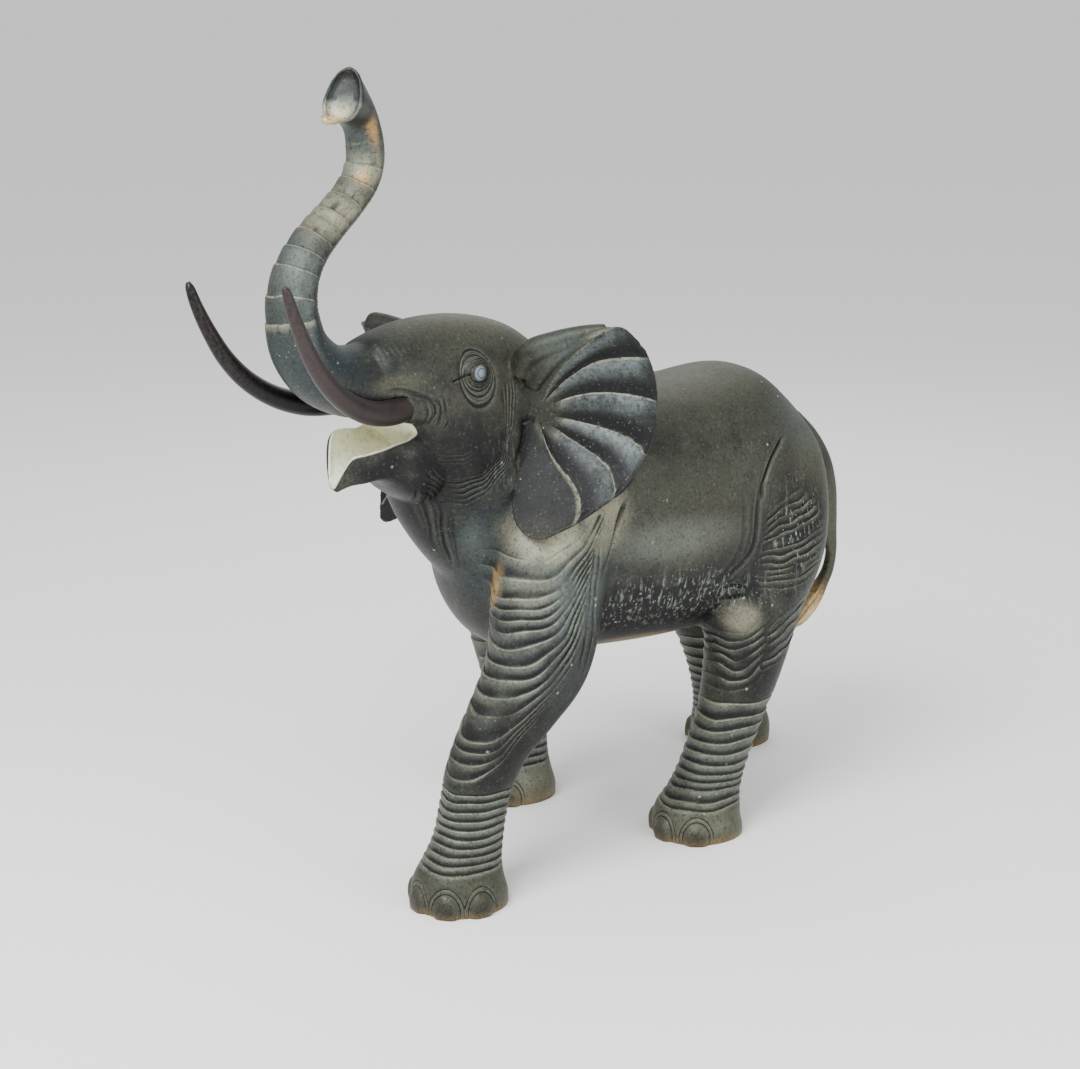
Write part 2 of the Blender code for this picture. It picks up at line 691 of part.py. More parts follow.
def rolls(phase, sharpness=FOLD_SHARPNESS):
    """How far below the crest of its roll a point lies: 0 on a crest, 1 in the crease at a whole number."""
    return 1 - abs(np.sin(np.pi * phase)) ** sharpness


def limb(points, stations):
    """For each point by a limb: angle round the limb from the front, to its left, and how near it is."""
    rows = spline(stations, 4)
    heights = rows[::-1, 2]
    centre = [np.interp(points[:, 2], heights, rows[::-1, k]) for k in range(2)]
    half = [np.interp(points[:, 2], heights, rows[::-1, k]) for k in (3, 4)]
    x, y = points[:, 0] - centre[0], points[:, 1] - centre[1]
    reach = np.hypot(x / half[0], y / half[1])
    return np.degrees(np.arctan2(x, -y)), window(reach, 0.0, LIMB_SKIN, LIMB_SOFT)


def leg_folds(points):
    """Drapes on the upper fore legs, rings on every shank, as a depth to press in."""
    depth = np.zeros(len(points))
    z = points[:, 2]
    for stations, side, low, high in SHANKS:
        angle, near = limb(points, stations)
        held = window(z, low, high, FOLD_SOFT) * near * window(side * angle, *RING_REACH)
        depth += RING_DEPTH * rolls((z - low) / RING_SPACING) * held
        if stations in (FORE_LEFT, FORE_RIGHT):
            turned = (side * angle - DRAPE_TURN) / DRAPE_SPAN
            rise = np.where(turned > 0, DRAPE_OUTER, DRAPE_FRONT) * turned**2
            level = z - rise
            phase = np.interp(-level, [-h for h in FORE_DRAPES], range(len(FORE_DRAPES)))
            held = window(level, FORE_DRAPES[-1], FORE_DRAPES[0], FOLD_SOFT) * near
            held *= window(turned, *DRAPE_REACH)
            held *= smoothstep(side * points[:, 0], 2 * FOLD_CLEAR, 4 * FOLD_CLEAR)
            depth += DRAPE_DEPTH * rolls(phase) * held
    return depth


def line_distance(flat, line):
    """How far each y, z point lies from a line through a few of them, and where along it, 0 to 1."""
    path = spline(line, 5)
    least = np.full(len(flat), 1.0)
    along = np.zeros(len(flat))
    for number, (start, end) in enumerate(zip(path, path[1:])):
        run = end - start
        share = np.clip((flat - start) @ run / (run @ run), 0, 1)
        distance = np.linalg.norm(flat - start - share[:, None] * run, axis=1)
        closer = distance < least
        least[closer] = distance[closer]
        along[closer] = (number + share[closer]) / (len(path) - 1)
    return least, along


def side_folds(points, families, step=0.0):
    """Folds stamped on both sides, as a depth: each a valley along its line, fading at its ends."""
    depth = np.zeros(len(points))
    for side in (1, -1):
        flat = points[:, 1:] - np.array([0.0 if side > 0 else step, 0.0])
        held = smoothstep(side * points[:, 0], FOLD_CLEAR, 2 * FOLD_CLEAR)
        for first, last, count, width, deep in families:
            for share in np.linspace(0, 1, count):
                line = np.array(first) * (1 - share) + np.array(last) * share
                distance, along = line_distance(flat, line)
                valley = deep * smoothstep(width - distance, 0, width) * held
                valley *= window(along, FOLD_ENDS, 1 - FOLD_ENDS, FOLD_ENDS)
                depth = np.maximum(depth, valley)
    return depth


def lid_folds(points):
    """Rings of lid round each eye, lower and wider the farther out they are."""
    depth = np.zeros(len(points))
    outward = smoothstep(abs(points[:, 0]), EYE_SHOWS_FROM, EYE_SHOWS_BY)
    for share in np.linspace(0, 1, LID_RINGS):
        y, z, wide, tall = np.array(LID_INNER) * (1 - share) + np.array(LID_OUTER) * share
        ring = np.hypot((points[:, 1] - y) / wide, (points[:, 2] - z) / tall)
        off = abs(ring - 1) * (wide + tall) / 2
        depth = np.maximum(depth, LID_DEPTH * smoothstep(LID_WIDTH - off, 0, LID_WIDTH) * outward)
    return depth


def nail_forms(points):
    """Nails round the front of each foot as a depth, less than nothing where they stand proud."""
    depth = np.zeros(len(points))
    for leg, turns in TOES:
        x, y = points[:, 0] - leg[-1][0], points[:, 1] - leg[-1][1]
        angle = np.arctan2(x, -y)
        near = np.hypot(x, y) < FOOT_REACH + NAIL_TALL
        for turn in turns:
            across = (angle - math.radians(turn)) * FOOT_REACH / NAIL_HALF_WIDTH
            ring = np.hypot(across, (points[:, 2] - NAIL_MIDDLE) / NAIL_TALL)
            dome = np.sqrt(np.clip(1 - ring**2, 0, 1))
            groove = window(ring, *NAIL_EDGE)
            depth += near * (NAIL_GROOVE * groove - NAIL_PROUD * dome)
    return depth


def ear_folds(points):
    """The lobes of an ear between its ribs, on its front, as a depth to press in."""
    depth = np.zeros(len(points))
    rim = closed_rim(EAR_RIM, 4)
    order = np.argsort((rim[:, 0] + 180) % 360)
    rim_angle, rim_reach = ((rim[:, 0] + 180) % 360 - 180)[order], rim[order, 1]
    for side in (1, -1):
        out = side * points[:, 0] - EAR_HUB.x
        up = points[:, 2] - EAR_HUB.z
        back = points[:, 1] - EAR_HUB.y - sheet_back(out, up, side)
        angle = np.degrees(np.arctan2(up, out))
        share = np.hypot(out, up) / np.interp(angle, rim_angle, rim_reach)
        bend = np.clip(1 - share, 0, 1) ** 2
        bounds = [at + (near - at) * bend for near, at in EAR_RIBS]
        phase = np.zeros(len(points))
        for first, second in zip(bounds, bounds[1:]):
            phase += np.clip((angle - first) / (second - first), 0, 1)
        held = window(back, -EAR_FRONT_DEEP, 0.0, EAR_THICKNESS / 4)
        held *= window(share, LOBE_FROM, LOBE_TO, LOBE_SOFT) * (side * points[:, 0] > EAR_FROM_X)
        inside = (phase > 0) & (phase < len(EAR_RIBS) - 1)
        depth += EAR_DEPTH * rolls(phase, LOBE_SHARPNESS) * held * inside
    return depth


def trunk_folds(points):
    """Rings across the front of the trunk, as a depth to press in."""
    rows = spline(TRUNK, 6)
    lengths = np.concatenate(([0], np.cumsum(np.linalg.norm(np.diff(rows[:, :3], axis=0), axis=1))))
    gaps = points[:, None, :] - rows[None, :, :3]
    distance = np.linalg.norm(gaps, axis=2)
    nearest = distance.argmin(axis=1)
    along = lengths[nearest]
    tangent = np.gradient(rows[:, :3], axis=0)
    tangent /= np.linalg.norm(tangent, axis=1)[:, None]
    chosen = np.take_along_axis(gaps, nearest[:, None, None], axis=1)[:, 0]
    along = along + (chosen * tangent[nearest]).sum(axis=1)
    near = distance.min(axis=1) < rows[nearest, 3] * TRUNK_SKIN
    phase = np.interp(along, TRUNK_RINGS, range(len(TRUNK_RINGS)))
    held = near * window(along, TRUNK_RINGS[0], TRUNK_RINGS[-1], FOLD_SOFT)
    return TRUNK_DEPTH * rolls(phase, TRUNK_SHARPNESS) * held


def press(obj):
    """Presses the folds into the mesh along its normals."""
    mesh = obj.data
    points = np.empty(len(mesh.vertices) * 3, np.float32)
    normals = np.empty(len(mesh.vertices) * 3, np.float32)
    mesh.vertices.foreach_get("co", points)
    mesh.vertex_normals.foreach_get("vector", normals)
    points = points.reshape(-1, 3).astype(float)
    normals = normals.reshape(-1, 3).astype(float)
    inverse = np.array(head_place().inverted())
    in_head = points @ inverse[:3, :3].T + inverse[:3, 3]
    depth = leg_folds(points) + nail_forms(points) + side_folds(points, BODY_FOLDS, HIND_STEP)
    depth += ear_folds(in_head) + trunk_folds(in_head) + lid_folds(in_head)
    depth += side_folds(in_head, HEAD_FOLDS)
    points -= normals * depth[:, None]
    mesh.vertices.foreach_set("co", points.astype(np.float32).ravel())
    mesh.update()


def level_soles(obj):
    """Cuts the feet off flat on the ground."""
    bm = bmesh.new()
    bm.from_mesh(obj.data)
    cut_geometry = bmesh.ops.bisect_plane(
        bm,
        geom=bm.verts[:] + bm.edges[:] + bm.faces[:],
        plane_co=(0, 0, 0),
        plane_no=(0, 0, -1),
        clear_outer=True,
    )["geom_cut"]
    rims = [item for item in cut_geometry if isinstance(item, bmesh.types.BMEdge)]
    bmesh.ops.holes_fill(bm, edges=rims, sides=0)
    bmesh.ops.triangulate(bm, faces=bm.faces)
    bm.to_mesh(obj.data)
    bm.free()


def in_linear(hex_colour):
    """A colour given as sRGB hex, as linear red, green, blue and full cover."""
    parts = [int(hex_colour[k : k + 2], 16) / 255 for k in (0, 2, 4)]
    return [*(p / 12.92 if p < SRGB_KNEE else ((p + 0.055) / 1.055) ** 2.4 for p in parts), 1.0]


def bronze(name, hex_colour, roughness, metallic):
    material = bpy.data.materials.new(name)
    material.use_nodes = True
    shader = material.node_tree.nodes["Principled BSDF"]
    shader.inputs["Base Color"].default_value = in_linear(hex_colour)
    shader.inputs["Roughness"].default_value = roughness
    shader.inputs["Metallic"].default_value = metallic
    material.diffuse_color = in_linear(hex_colour)
    return material


def finish(objects):
    """Centres the box of the whole over the origin, shades the pieces smooth and colours them."""
    points = [Vector(vert.co) for obj in objects for vert in obj.data.vertices]
    middle = [(min(p[k] for p in points) + max(p[k] for p in points)) / 2 for k in range(2)]
    for obj in objects:
        obj.data.transform(Matrix.Translation((-middle[0], -middle[1], 0.0)))
        obj.data.polygons.foreach_set("use_smooth", [True] * len(obj.data.polygons))
        finish_of = HIDE_BRONZE if obj.name == "elephant" else TUSK_BRONZE
        obj.data.materials.clear()
        obj.data.materials.append(bronze(obj.name + "_bronze", *finish_of))


def main():
    clear_scene()
    head = head_place()
    body = joined("body", body_masses())
    fuse(body, BODY_EASE)
    elephant = joined("elephant", added_masses(taken(body), scooped_jaw()))
    fuse(elephant, SKIN_EASE)
    press(elephant)
    thin(elephant, TRIANGLES)
    level_soles(elephant)
    sockets = [tusk_form(side, head, SOCKET_GAP) for side in (1, -1)]
    cut(elephant, [*sockets, trunk_dish(head)])
    tusks = [
        joined(name, [tusk_form(side, head)])
        for name, side in (("left_tusk", 1), ("right_tusk", -1))
    ]
    finish([elephant, *tusks])


main()
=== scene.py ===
"""The bronze elephant over its CAD frame: the casting with its folds and patina, and its two tusks.

The casting is built from the same named stations as its solid, with a finer skin, and then pressed
with every fold of the hide. What each fold does to the colour, painted highlights and shade among it,
is written into the mesh's own attributes, and the patinated bronze reads them. The animal faces -Y
and its left side is +X.
"""

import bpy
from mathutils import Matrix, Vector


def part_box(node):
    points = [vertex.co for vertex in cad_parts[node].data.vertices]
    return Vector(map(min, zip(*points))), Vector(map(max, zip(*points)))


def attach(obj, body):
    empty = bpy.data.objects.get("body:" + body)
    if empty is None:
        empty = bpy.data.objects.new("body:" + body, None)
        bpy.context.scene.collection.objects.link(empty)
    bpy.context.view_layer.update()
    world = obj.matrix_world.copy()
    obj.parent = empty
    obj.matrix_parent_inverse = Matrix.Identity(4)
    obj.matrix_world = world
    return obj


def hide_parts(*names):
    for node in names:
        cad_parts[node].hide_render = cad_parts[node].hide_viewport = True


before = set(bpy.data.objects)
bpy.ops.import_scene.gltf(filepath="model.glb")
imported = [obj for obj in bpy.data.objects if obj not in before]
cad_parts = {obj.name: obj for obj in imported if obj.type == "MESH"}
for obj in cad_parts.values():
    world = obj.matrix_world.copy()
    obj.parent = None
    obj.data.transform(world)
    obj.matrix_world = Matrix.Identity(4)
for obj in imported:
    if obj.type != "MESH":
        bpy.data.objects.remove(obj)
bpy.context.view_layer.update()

import math

import bmesh
import bpy
import numpy as np
from mathutils import Matrix, Vector

# Sizes in metres, angles in degrees. Side 1 is the animal's left and -1 its right. Everything is
# modelled with its origin on the ground between the feet, and moved at the end to where the frame
# has the left tusk.
BODY_VOXEL = 0.0055
BODY_EASE = 24
SKIN_VOXEL = 0.0026
SKIN_EASE = 7
EASE_SHARE = 0.5
TRIANGLES = 193000
SOCKET_GAP = 0.0004

HEAD_PIVOT = Vector((0.0, -0.25, 0.80))
HEAD_TURN = 7.0
HEAD_TILT = 5.0

# The barrel of the body: y, top z, bottom z, half width.
TORSO = (
    (-0.305, 0.570, 0.490, 0.045),
    (-0.280, 0.640, 0.420, 0.085),
    (-0.235, 0.695, 0.366, 0.120),
    (-0.165, 0.742, 0.338, 0.152),
    (-0.080, 0.768, 0.331, 0.182),
    (0.040, 0.760, 0.326, 0.201),
    (0.170, 0.769, 0.328, 0.206),
    (0.285, 0.777, 0.338, 0.190),
    (0.345, 0.742, 0.356, 0.166),
    (0.403, 0.686, 0.388, 0.129),
    (0.444, 0.622, 0.434, 0.086),
    (0.474, 0.566, 0.480, 0.040),
)
# The neck: centre x, y, z, half width and half depth square to the path.
NECK = (
    (0.000, -0.060, 0.570, 0.148, 0.190),
    (0.000, -0.145, 0.607, 0.134, 0.193),
    (0.000, -0.211, 0.661, 0.114, 0.187),
    (0.005, -0.262, 0.722, 0.104, 0.169),
    (0.008, -0.286, 0.788, 0.096, 0.127),
)
# In the head's own frame, origin at the pivot: y, top z, bottom z, half width.
SKULL = (
    (0.130, 0.020, -0.060, 0.045),
    (0.104, 0.060, -0.110, 0.080),
    (0.054, 0.096, -0.165, 0.100),
    (-0.010, 0.115, -0.195, 0.106),
    (-0.070, 0.121, -0.190, 0.104),
    (-0.125, 0.119, -0.140, 0.096),
    (-0.175, 0.110, -0.060, 0.084),
    (-0.225, 0.096, -0.034, 0.070),
)
# The lower jaw, in the head's frame: y, top z, bottom z, half width, middle x.
JAW = (
    (-0.110, -0.032, -0.170, 0.070, 0.000),
    (-0.150, -0.032, -0.168, 0.072, 0.000),
    (-0.180, -0.034, -0.152, 0.070, 0.000),
    (-0.205, -0.037, -0.130, 0.063, 0.000),
    (-0.230, -0.044, -0.116, 0.055, -0.002),
    (-0.250, -0.052, -0.117, 0.047, -0.006),
    (-0.264, -0.063, -0.122, 0.038, -0.010),
    (-0.276, -0.092, -0.129, 0.024, -0.008),
    (-0.285, -0.118, -0.136, 0.010, -0.004),
)
# It hangs a little askew from its hinge, and its lip is let down on the left towards the tip.
JAW_HINGE = Vector((0.0, -0.18, -0.09))
JAW_ROLL = 8.0
LIP_SKEW = 0.35
LIP_FROM = -0.20
LIP_TO = -0.265
# What is taken out of the jaw to make it a scoop, in the same way.
SCOOP = (
    (-0.120, -0.020, -0.052, 0.024, 0.000),
    (-0.160, -0.010, -0.072, 0.048, 0.000),
    (-0.190, 0.000, -0.088, 0.055, 0.000),
    (-0.215, 0.000, -0.096, 0.050, 0.000),
    (-0.236, -0.010, -0.101, 0.042, -0.003),
    (-0.254, -0.020, -0.106, 0.033, -0.007),
    (-0.268, -0.035, -0.114, 0.023, -0.010),
    (-0.282, -0.060, -0.126, 0.012, -0.007),
    (-0.300, -0.080, -0.134, 0.005, -0.002),
)
# The sheath of hide that a tusk comes out of, on the left: x, y, z, half width, half depth.
SHEATH = (
    (0.062, -0.080, -0.010, 0.028, 0.034),
    (0.064, -0.120, -0.008, 0.031, 0.034),
    (0.066, -0.155, -0.008, 0.030, 0.031),
    (0.067, -0.182, -0.009, 0.026, 0.026),
    (0.068, -0.196, -0.009, 0.022, 0.022),
)
# The trunk, in the head's frame: x, y, z, half width, half depth, turn of the section.
TRUNK = (
    (0.000, -0.170, 0.030, 0.078, 0.074, 0.0),
    (0.000, -0.235, 0.028, 0.066, 0.066, 0.0),
    (0.000, -0.292, 0.048, 0.056, 0.056, -6.0),
    (0.000, -0.330, 0.092, 0.048, 0.049, -14.0),
    (0.000, -0.341, 0.140, 0.043, 0.044, -20.0),
    (0.000, -0.338, 0.180, 0.040, 0.040, -24.0),
    (0.000, -0.325, 0.214, 0.037, 0.037, -26.0),
    (0.000, -0.299, 0.248, 0.034, 0.034, -28.0),
    (0.000, -0.263, 0.279, 0.032, 0.032, -30.0),
    (0.000, -0.226, 0.308, 0.031, 0.030, -30.0),
    (0.000, -0.197, 0.337, 0.031, 0.030, -30.0),
    (0.000, -0.183, 0.367, 0.031, 0.030, -30.0),
    (0.000, -0.180, 0.397, 0.030, 0.029, -30.0),
    (0.002, -0.185, 0.421, 0.029, 0.030, -26.0),
    (0.008, -0.198, 0.441, 0.030, 0.034, -20.0),
    (0.018, -0.218, 0.456, 0.0315, 0.042, -12.0),
    (0.030, -0.239, 0.466, 0.033, 0.051, -4.0),
)
# A tusk, in the head's frame, for the left side: x, y, z, radius.
TUSK = (
    (0.066, -0.165, -0.006, 0.0195),
    (0.068, -0.193, -0.009, 0.0200),
    (0.073, -0.226, -0.011, 0.0202),
    (0.080, -0.268, -0.005, 0.0190),
    (0.088, -0.312, 0.014, 0.0172),
    (0.097, -0.352, 0.045, 0.0155),
    (0.105, -0.384, 0.084, 0.0138),
    (0.113, -0.408, 0.126, 0.0118),
    (0.120, -0.426, 0.165, 0.0098),
    (0.124, -0.437, 0.195, 0.0074),
    (0.125, -0.441, 0.206, 0.0035),
)
# How far each tusk bows forward between its ends, and how much higher each is let in, with its
# sheath, which fades out by this many stations from the root.
TUSK_BOW = {1: 0.0, -1: 0.014}
TUSK_LIFT = {1: 0.0, -1: 0.011}
LIFT_FADES_BY = 6
# Legs: x, y, z, half width, half depth, from the body down to just under the sole.
FORE_LEFT = (
    (0.070, -0.110, 0.690, 0.050, 0.060),
    (0.100, -0.130, 0.620, 0.078, 0.100),
    (0.124, -0.170, 0.540, 0.080, 0.100),
    (0.143, -0.202, 0.465, 0.075, 0.098),
    (0.150, -0.212, 0.415, 0.074, 0.096),
    (0.152, -0.229, 0.362, 0.070, 0.092),
    (0.156, -0.271, 0.306, 0.063, 0.076),
    (0.161, -0.315, 0.256, 0.058, 0.063),
    (0.165, -0.346, 0.206, 0.055, 0.058),
    (0.169, -0.364, 0.152, 0.054, 0.056),
    (0.173, -0.378, 0.096, 0.056, 0.058),
    (0.175, -0.389, 0.060, 0.064, 0.067),
    (0.177, -0.396, 0.028, 0.076, 0.079),
    (0.177, -0.396, 0.000, 0.075, 0.078),
    (0.177, -0.396, -0.030, 0.072, 0.075),
)
FORE_RIGHT = (
    (-0.070, -0.095, 0.690, 0.050, 0.060),
    (-0.100, -0.105, 0.620, 0.080, 0.104),
    (-0.124, -0.118, 0.540, 0.080, 0.100),
    (-0.140, -0.118, 0.460, 0.071, 0.086),
    (-0.143, -0.100, 0.385, 0.066, 0.077),
    (-0.148, -0.080, 0.310, 0.059, 0.067),
    (-0.157, -0.063, 0.235, 0.055, 0.058),
    (-0.164, -0.051, 0.160, 0.053, 0.054),
    (-0.170, -0.047, 0.100, 0.055, 0.055),
    (-0.173, -0.049, 0.062, 0.063, 0.064),
    (-0.174, -0.053, 0.028, 0.076, 0.078),
    (-0.174, -0.053, 0.000, 0.075, 0.077),
    (-0.174, -0.053, -0.030, 0.072, 0.074),
)
HIND_LEFT = (
    (0.060, 0.306, 0.700, 0.045, 0.050),
    (0.080, 0.306, 0.645, 0.080, 0.088),
    (0.106, 0.300, 0.570, 0.087, 0.104),
    (0.128, 0.280, 0.485, 0.085, 0.105),
    (0.142, 0.241, 0.400, 0.077, 0.089),
    (0.148, 0.218, 0.325, 0.068, 0.080),
    (0.150, 0.205, 0.275, 0.062, 0.072),
    (0.151, 0.187, 0.217, 0.058, 0.061),
    (0.154, 0.160, 0.158, 0.055, 0.057),
    (0.157, 0.133, 0.100, 0.056, 0.058),
    (0.160, 0.116, 0.058, 0.065, 0.067),
    (0.160, 0.106, 0.028, 0.076, 0.079),
    (0.160, 0.106, 0.000, 0.075, 0.078),
    (0.160, 0.106, -0.030, 0.072, 0.075),
)
HIND_RIGHT = (
    (-0.060, 0.314, 0.700, 0.045, 0.050),
    (-0.080, 0.322, 0.645, 0.080, 0.094),
    (-0.106, 0.338, 0.570, 0.089, 0.116),
    (-0.128, 0.342, 0.485, 0.084, 0.116),
    (-0.142, 0.342, 0.400, 0.075, 0.101),
    (-0.150, 0.354, 0.325, 0.066, 0.085),
    (-0.155, 0.378, 0.250, 0.059, 0.067),
    (-0.162, 0.403, 0.180, 0.055, 0.058),
    (-0.168, 0.425, 0.110, 0.056, 0.057),
    (-0.173, 0.440, 0.062, 0.064, 0.066),
    (-0.175, 0.450, 0.028, 0.076, 0.079),
    (-0.175, 0.450, 0.000, 0.075, 0.078),
    (-0.175, 0.450, -0.030, 0.072, 0.075),
)
# The tail hangs close behind the rump, its tuft swung forward: x, y, z, half width, half depth.
TAIL = (
    (0.000, 0.425, 0.655, 0.030, 0.026),
    (0.000, 0.468, 0.616, 0.024, 0.026),
    (0.000, 0.501, 0.568, 0.019, 0.027),
    (0.000, 0.518, 0.520, 0.014, 0.027),
    (0.000, 0.525, 0.474, 0.011, 0.025),
    (0.000, 0.533, 0.434, 0.010, 0.018),
    (0.000, 0.540, 0.398, 0.010, 0.011),
    (0.000, 0.534, 0.364, 0.011, 0.011),
    (0.000, 0.521, 0.341, 0.013, 0.012),
    (0.000, 0.504, 0.319, 0.018, 0.015),
    (0.000, 0.485, 0.297, 0.019, 0.015),
    (0.000, 0.467, 0.276, 0.013, 0.011),
    (0.000, 0.456, 0.264, 0.005, 0.005),
)
# An ear is a sheet round its hub, where the ribs meet. It leans back as it goes out, and cups
# forward above and below. Its outline is an angle from straight out, up positive, and a reach.
EAR_HUB = Vector((0.118, 0.046, -0.045))
EAR_LEAN = {1: 0.75, -1: -0.05}
EAR_CUP = 3.0
EAR_THICKNESS = 0.013
EAR_RINGS = 9
# How far the edge swells out, as a share of the reach, and the turns it is cut at: the first, the
# last and how many.
EAR_EDGE_SWELL = 0.004
EAR_EDGE_TURNS = (0.7, 2.44, 5)
EAR_RIM = (
    (-105.0, 0.105),
    (-94.0, 0.141),
    (-86.0, 0.170),
    (-75.5, 0.196),
    (-67.0, 0.194),
    (-54.0, 0.182),
    (-42.0, 0.175),
    (-32.5, 0.160),
    (-10.0, 0.147),
    (5.5, 0.148),
    (23.0, 0.163),
    (35.0, 0.182),
    (44.0, 0.194),
    (48.5, 0.183),
    (54.0, 0.165),
    (66.0, 0.133),
    (90.0, 0.100),
    (150.0, 0.050),
    (200.0, 0.045),
)
# The rolled edge along the top of an ear: out from the hub, up from it, radius. The right one
# swells as it goes out.
EAR_ROLL = (
    (-0.020, 0.066, 0.020),
    (0.006, 0.098, 0.021),
    (0.045, 0.114, 0.019),
    (0.085, 0.126, 0.015),
    (0.118, 0.133, 0.010),
)
EAR_ROLL_SWELL = {1: 0.0, -1: 0.10}
# An ear's ribs from the lowest up: the angle of each at three shares of the reach. Above the last is
# the fold along the top.
RIB_SHARES = (0.2, 0.55, 1.0)
EAR_RIBS = (
    (-150.0, -125.0, -112.0),
    (-88.0, -66.5, -63.0),
    (-55.0, -44.0, -49.0),
    (-22.0, -19.5, -27.0),
    (32.0, 19.0, 5.0),
    (62.0, 45.0, 29.0),
    (74.0, 60.0, 46.0),
)
# The broad fold under the rolled edge: out, up, half thickness and half width.
EAR_FOLD = (
    (-0.010, 0.045, 0.010, 0.020),
    (0.006, 0.070, 0.013, 0.024),
    (0.034, 0.094, 0.012, 0.020),
    (0.066, 0.112, 0.011, 0.015),
    (0.098, 0.126, 0.008, 0.009),
)
EAR_FOLD_PROUD = 0.004
EAR_DEPTH = {1: 0.0026, -1: 0.0008}
EAR_HUMP = {1: 0.0030, -1: 0.0010}
LOBE_SHARPNESS = 0.9
RIB_WIDTH = 0.0020
RIB_SOFT = 4.0
# Between which shares of the reach a rib is followed, the lobes are pressed, the dark of an ear
# comes in, and the lobes carry a painted highlight on their upper side, with how softly the last ends.
EAR_SHARES = (0.15, 1.05)
LOBES_PRESSED = (0.22, 0.93, 0.1)
EAR_DARKENS = (0.15, 0.35)
LOBES_LIT = (0.32, 0.86, 0.22)
# The angles between which the lobes' painted highlight fades downwards, and what is left of it below.
LOBES_DARK_BELOW = (-66.0, -40.0, 0.06)
# How far in front of its sheet an ear still counts as its front.
EAR_FRONT_DEEP = 0.02
EAR_FROM_X = 0.10
EYE_SHOWS_FROM = 0.06
EYE_SHOWS_BY = 0.08
EYE = Vector((0.100, -0.069, 0.032))
LID_IN = 0.004
EYE_BALL = 0.0128
LID_SIZE = (0.012, 0.024, 0.026)
TRUNK_FLAT = 0.22
TRUNK_EGG = 0.18
# The pad of the lower lip under the trunk's end, in the head's frame, and its half sizes.
TRUNK_LIP = Vector((0.018, -0.257, 0.436))
TRUNK_LIP_SIZE = (0.021, 0.013, 0.010)
# Where the rings cross the trunk, as lengths along its path.
TRUNK_RINGS = (0.235, 0.269, 0.309, 0.336, 0.367, 0.392, 0.412, 0.447, 0.481, 0.515, 0.549)
TRUNK_DEPTH = 0.0026
TRUNK_SKIN = 1.3
NAIL_MIDDLE = 0.010
NAIL_TALL = 0.031
NAIL_HALF_WIDTH = 0.024
NAIL_PROUD = 0.0065
NAIL_FLAT = 0.5
NAIL_ARCH = 0.26
NAIL_GROOVE = 0.0022
NAIL_WORN = (0.35, 0.85)
NAIL_SOFT = 0.5
FOOT_REACH = 0.077
LEGS = (FORE_LEFT, FORE_RIGHT, HIND_LEFT, HIND_RIGHT)
TOES = (
    (FORE_LEFT, (-50.0, -5.0, 40.0, 85.0)),
    (FORE_RIGHT, (-85.0, -40.0, 5.0, 50.0)),
    (HIND_LEFT, (-50.0, 0.0, 50.0)),
    (HIND_RIGHT, (-50.0, 0.0, 50.0)),
)
# Most folds of the hide are shingles: below a narrow ledge the skin stands proud and sinks slowly
# towards the next ledge. These are the power that it sinks by, and the ledge's share of a fold.
SHINGLE_POWER = 1.3
LEDGE = 0.16
# The rest are grooves, this wide to each side as a share of what lies between two.
GROOVE_REACH = 0.3
# A groove that stands alone is full to this share of its half width.
LONE_FULL = 0.6
# The least and most of a fold that its ledge may take.
LEDGE_SHARES = (0.02, 0.5)
# Folds grow fainter and stronger along themselves, by this much round a middle share.
FADE_MIDDLE = 0.7
FADE_SWING = 0.5
# How far a fold wavers, and how far apart its waves lie and its fainter stretches.
FOLD_WAVE = 0.0022
FOLD_WAVES_APART = 0.04
FOLD_FADES_APART = 0.05

# The heights of the lowest points of the drapes on a fore leg, from the top, and the turn round
# the leg where they hang lowest.
FORE_DRAPES = (
    *(0.542, 0.510, 0.483, 0.465, 0.447, 0.429, 0.406, 0.379, 0.356, 0.329, 0.301),
    *(0.268, 0.250, 0.230, 0.208),
)
DRAPE_TURN = 30.0
# From there they rise to each side, by this power of the turn. At one span of turn they have risen
# by the outer or the front height.
DRAPE_SPAN = 60.0
DRAPE_CURVE = 2.5
DRAPE_OUTER = 0.060
DRAPE_FRONT = 0.012
# How far they waver, the size of the waves and the seed of their draws.
DRAPE_WAVE = (0.0055, 0.09, 4)
DRAPE_FADING = (0.08, 11)
DRAPE_REACH = 1.05
DRAPE_SOFT = 0.4
# How far round to the front they reach, by the level, and how fully they show on the forearm.
DRAPE_FROM = ((0.34, -1.7), (0.47, -0.75))
FOREARM = (0.30, 0.33, 0.7)
DRAPE_DEPTH = 0.0062
# The rings round each shank: the leg, its side, then the heights of the ledges from the top.
SHANKS = (
    (FORE_LEFT, 1, (0.186, 0.173, 0.158, 0.144, 0.131, 0.117, 0.104, 0.091, 0.078, 0.066)),
    (FORE_RIGHT, -1, (0.221, 0.203, 0.186, 0.169, 0.153, 0.138, 0.123, 0.108, 0.094, 0.080, 0.067)),
    (HIND_LEFT, 1, (0.228, 0.203, 0.183, 0.162, 0.143, 0.125, 0.110, 0.098, 0.087, 0.070, 0.058)),
    (HIND_RIGHT, -1, (0.232, 0.209, 0.187, 0.166, 0.147, 0.129, 0.113, 0.099, 0.085, 0.071, 0.058)),
)
RING_DEPTH = 0.0042
RING_REACH = (-120, 150, 40)
RING_WAVE = 0.0028
RING_WAVES_APART = 0.07
RING_WAVES_TALL = np.array([1, 1, 0.6])
FOLD_SOFT = 0.008
# How far off a limb's axis its own skin is, as a share of its half width, and the softness.
LIMB_SKIN = 1.25
LIMB_SOFT = 0.15

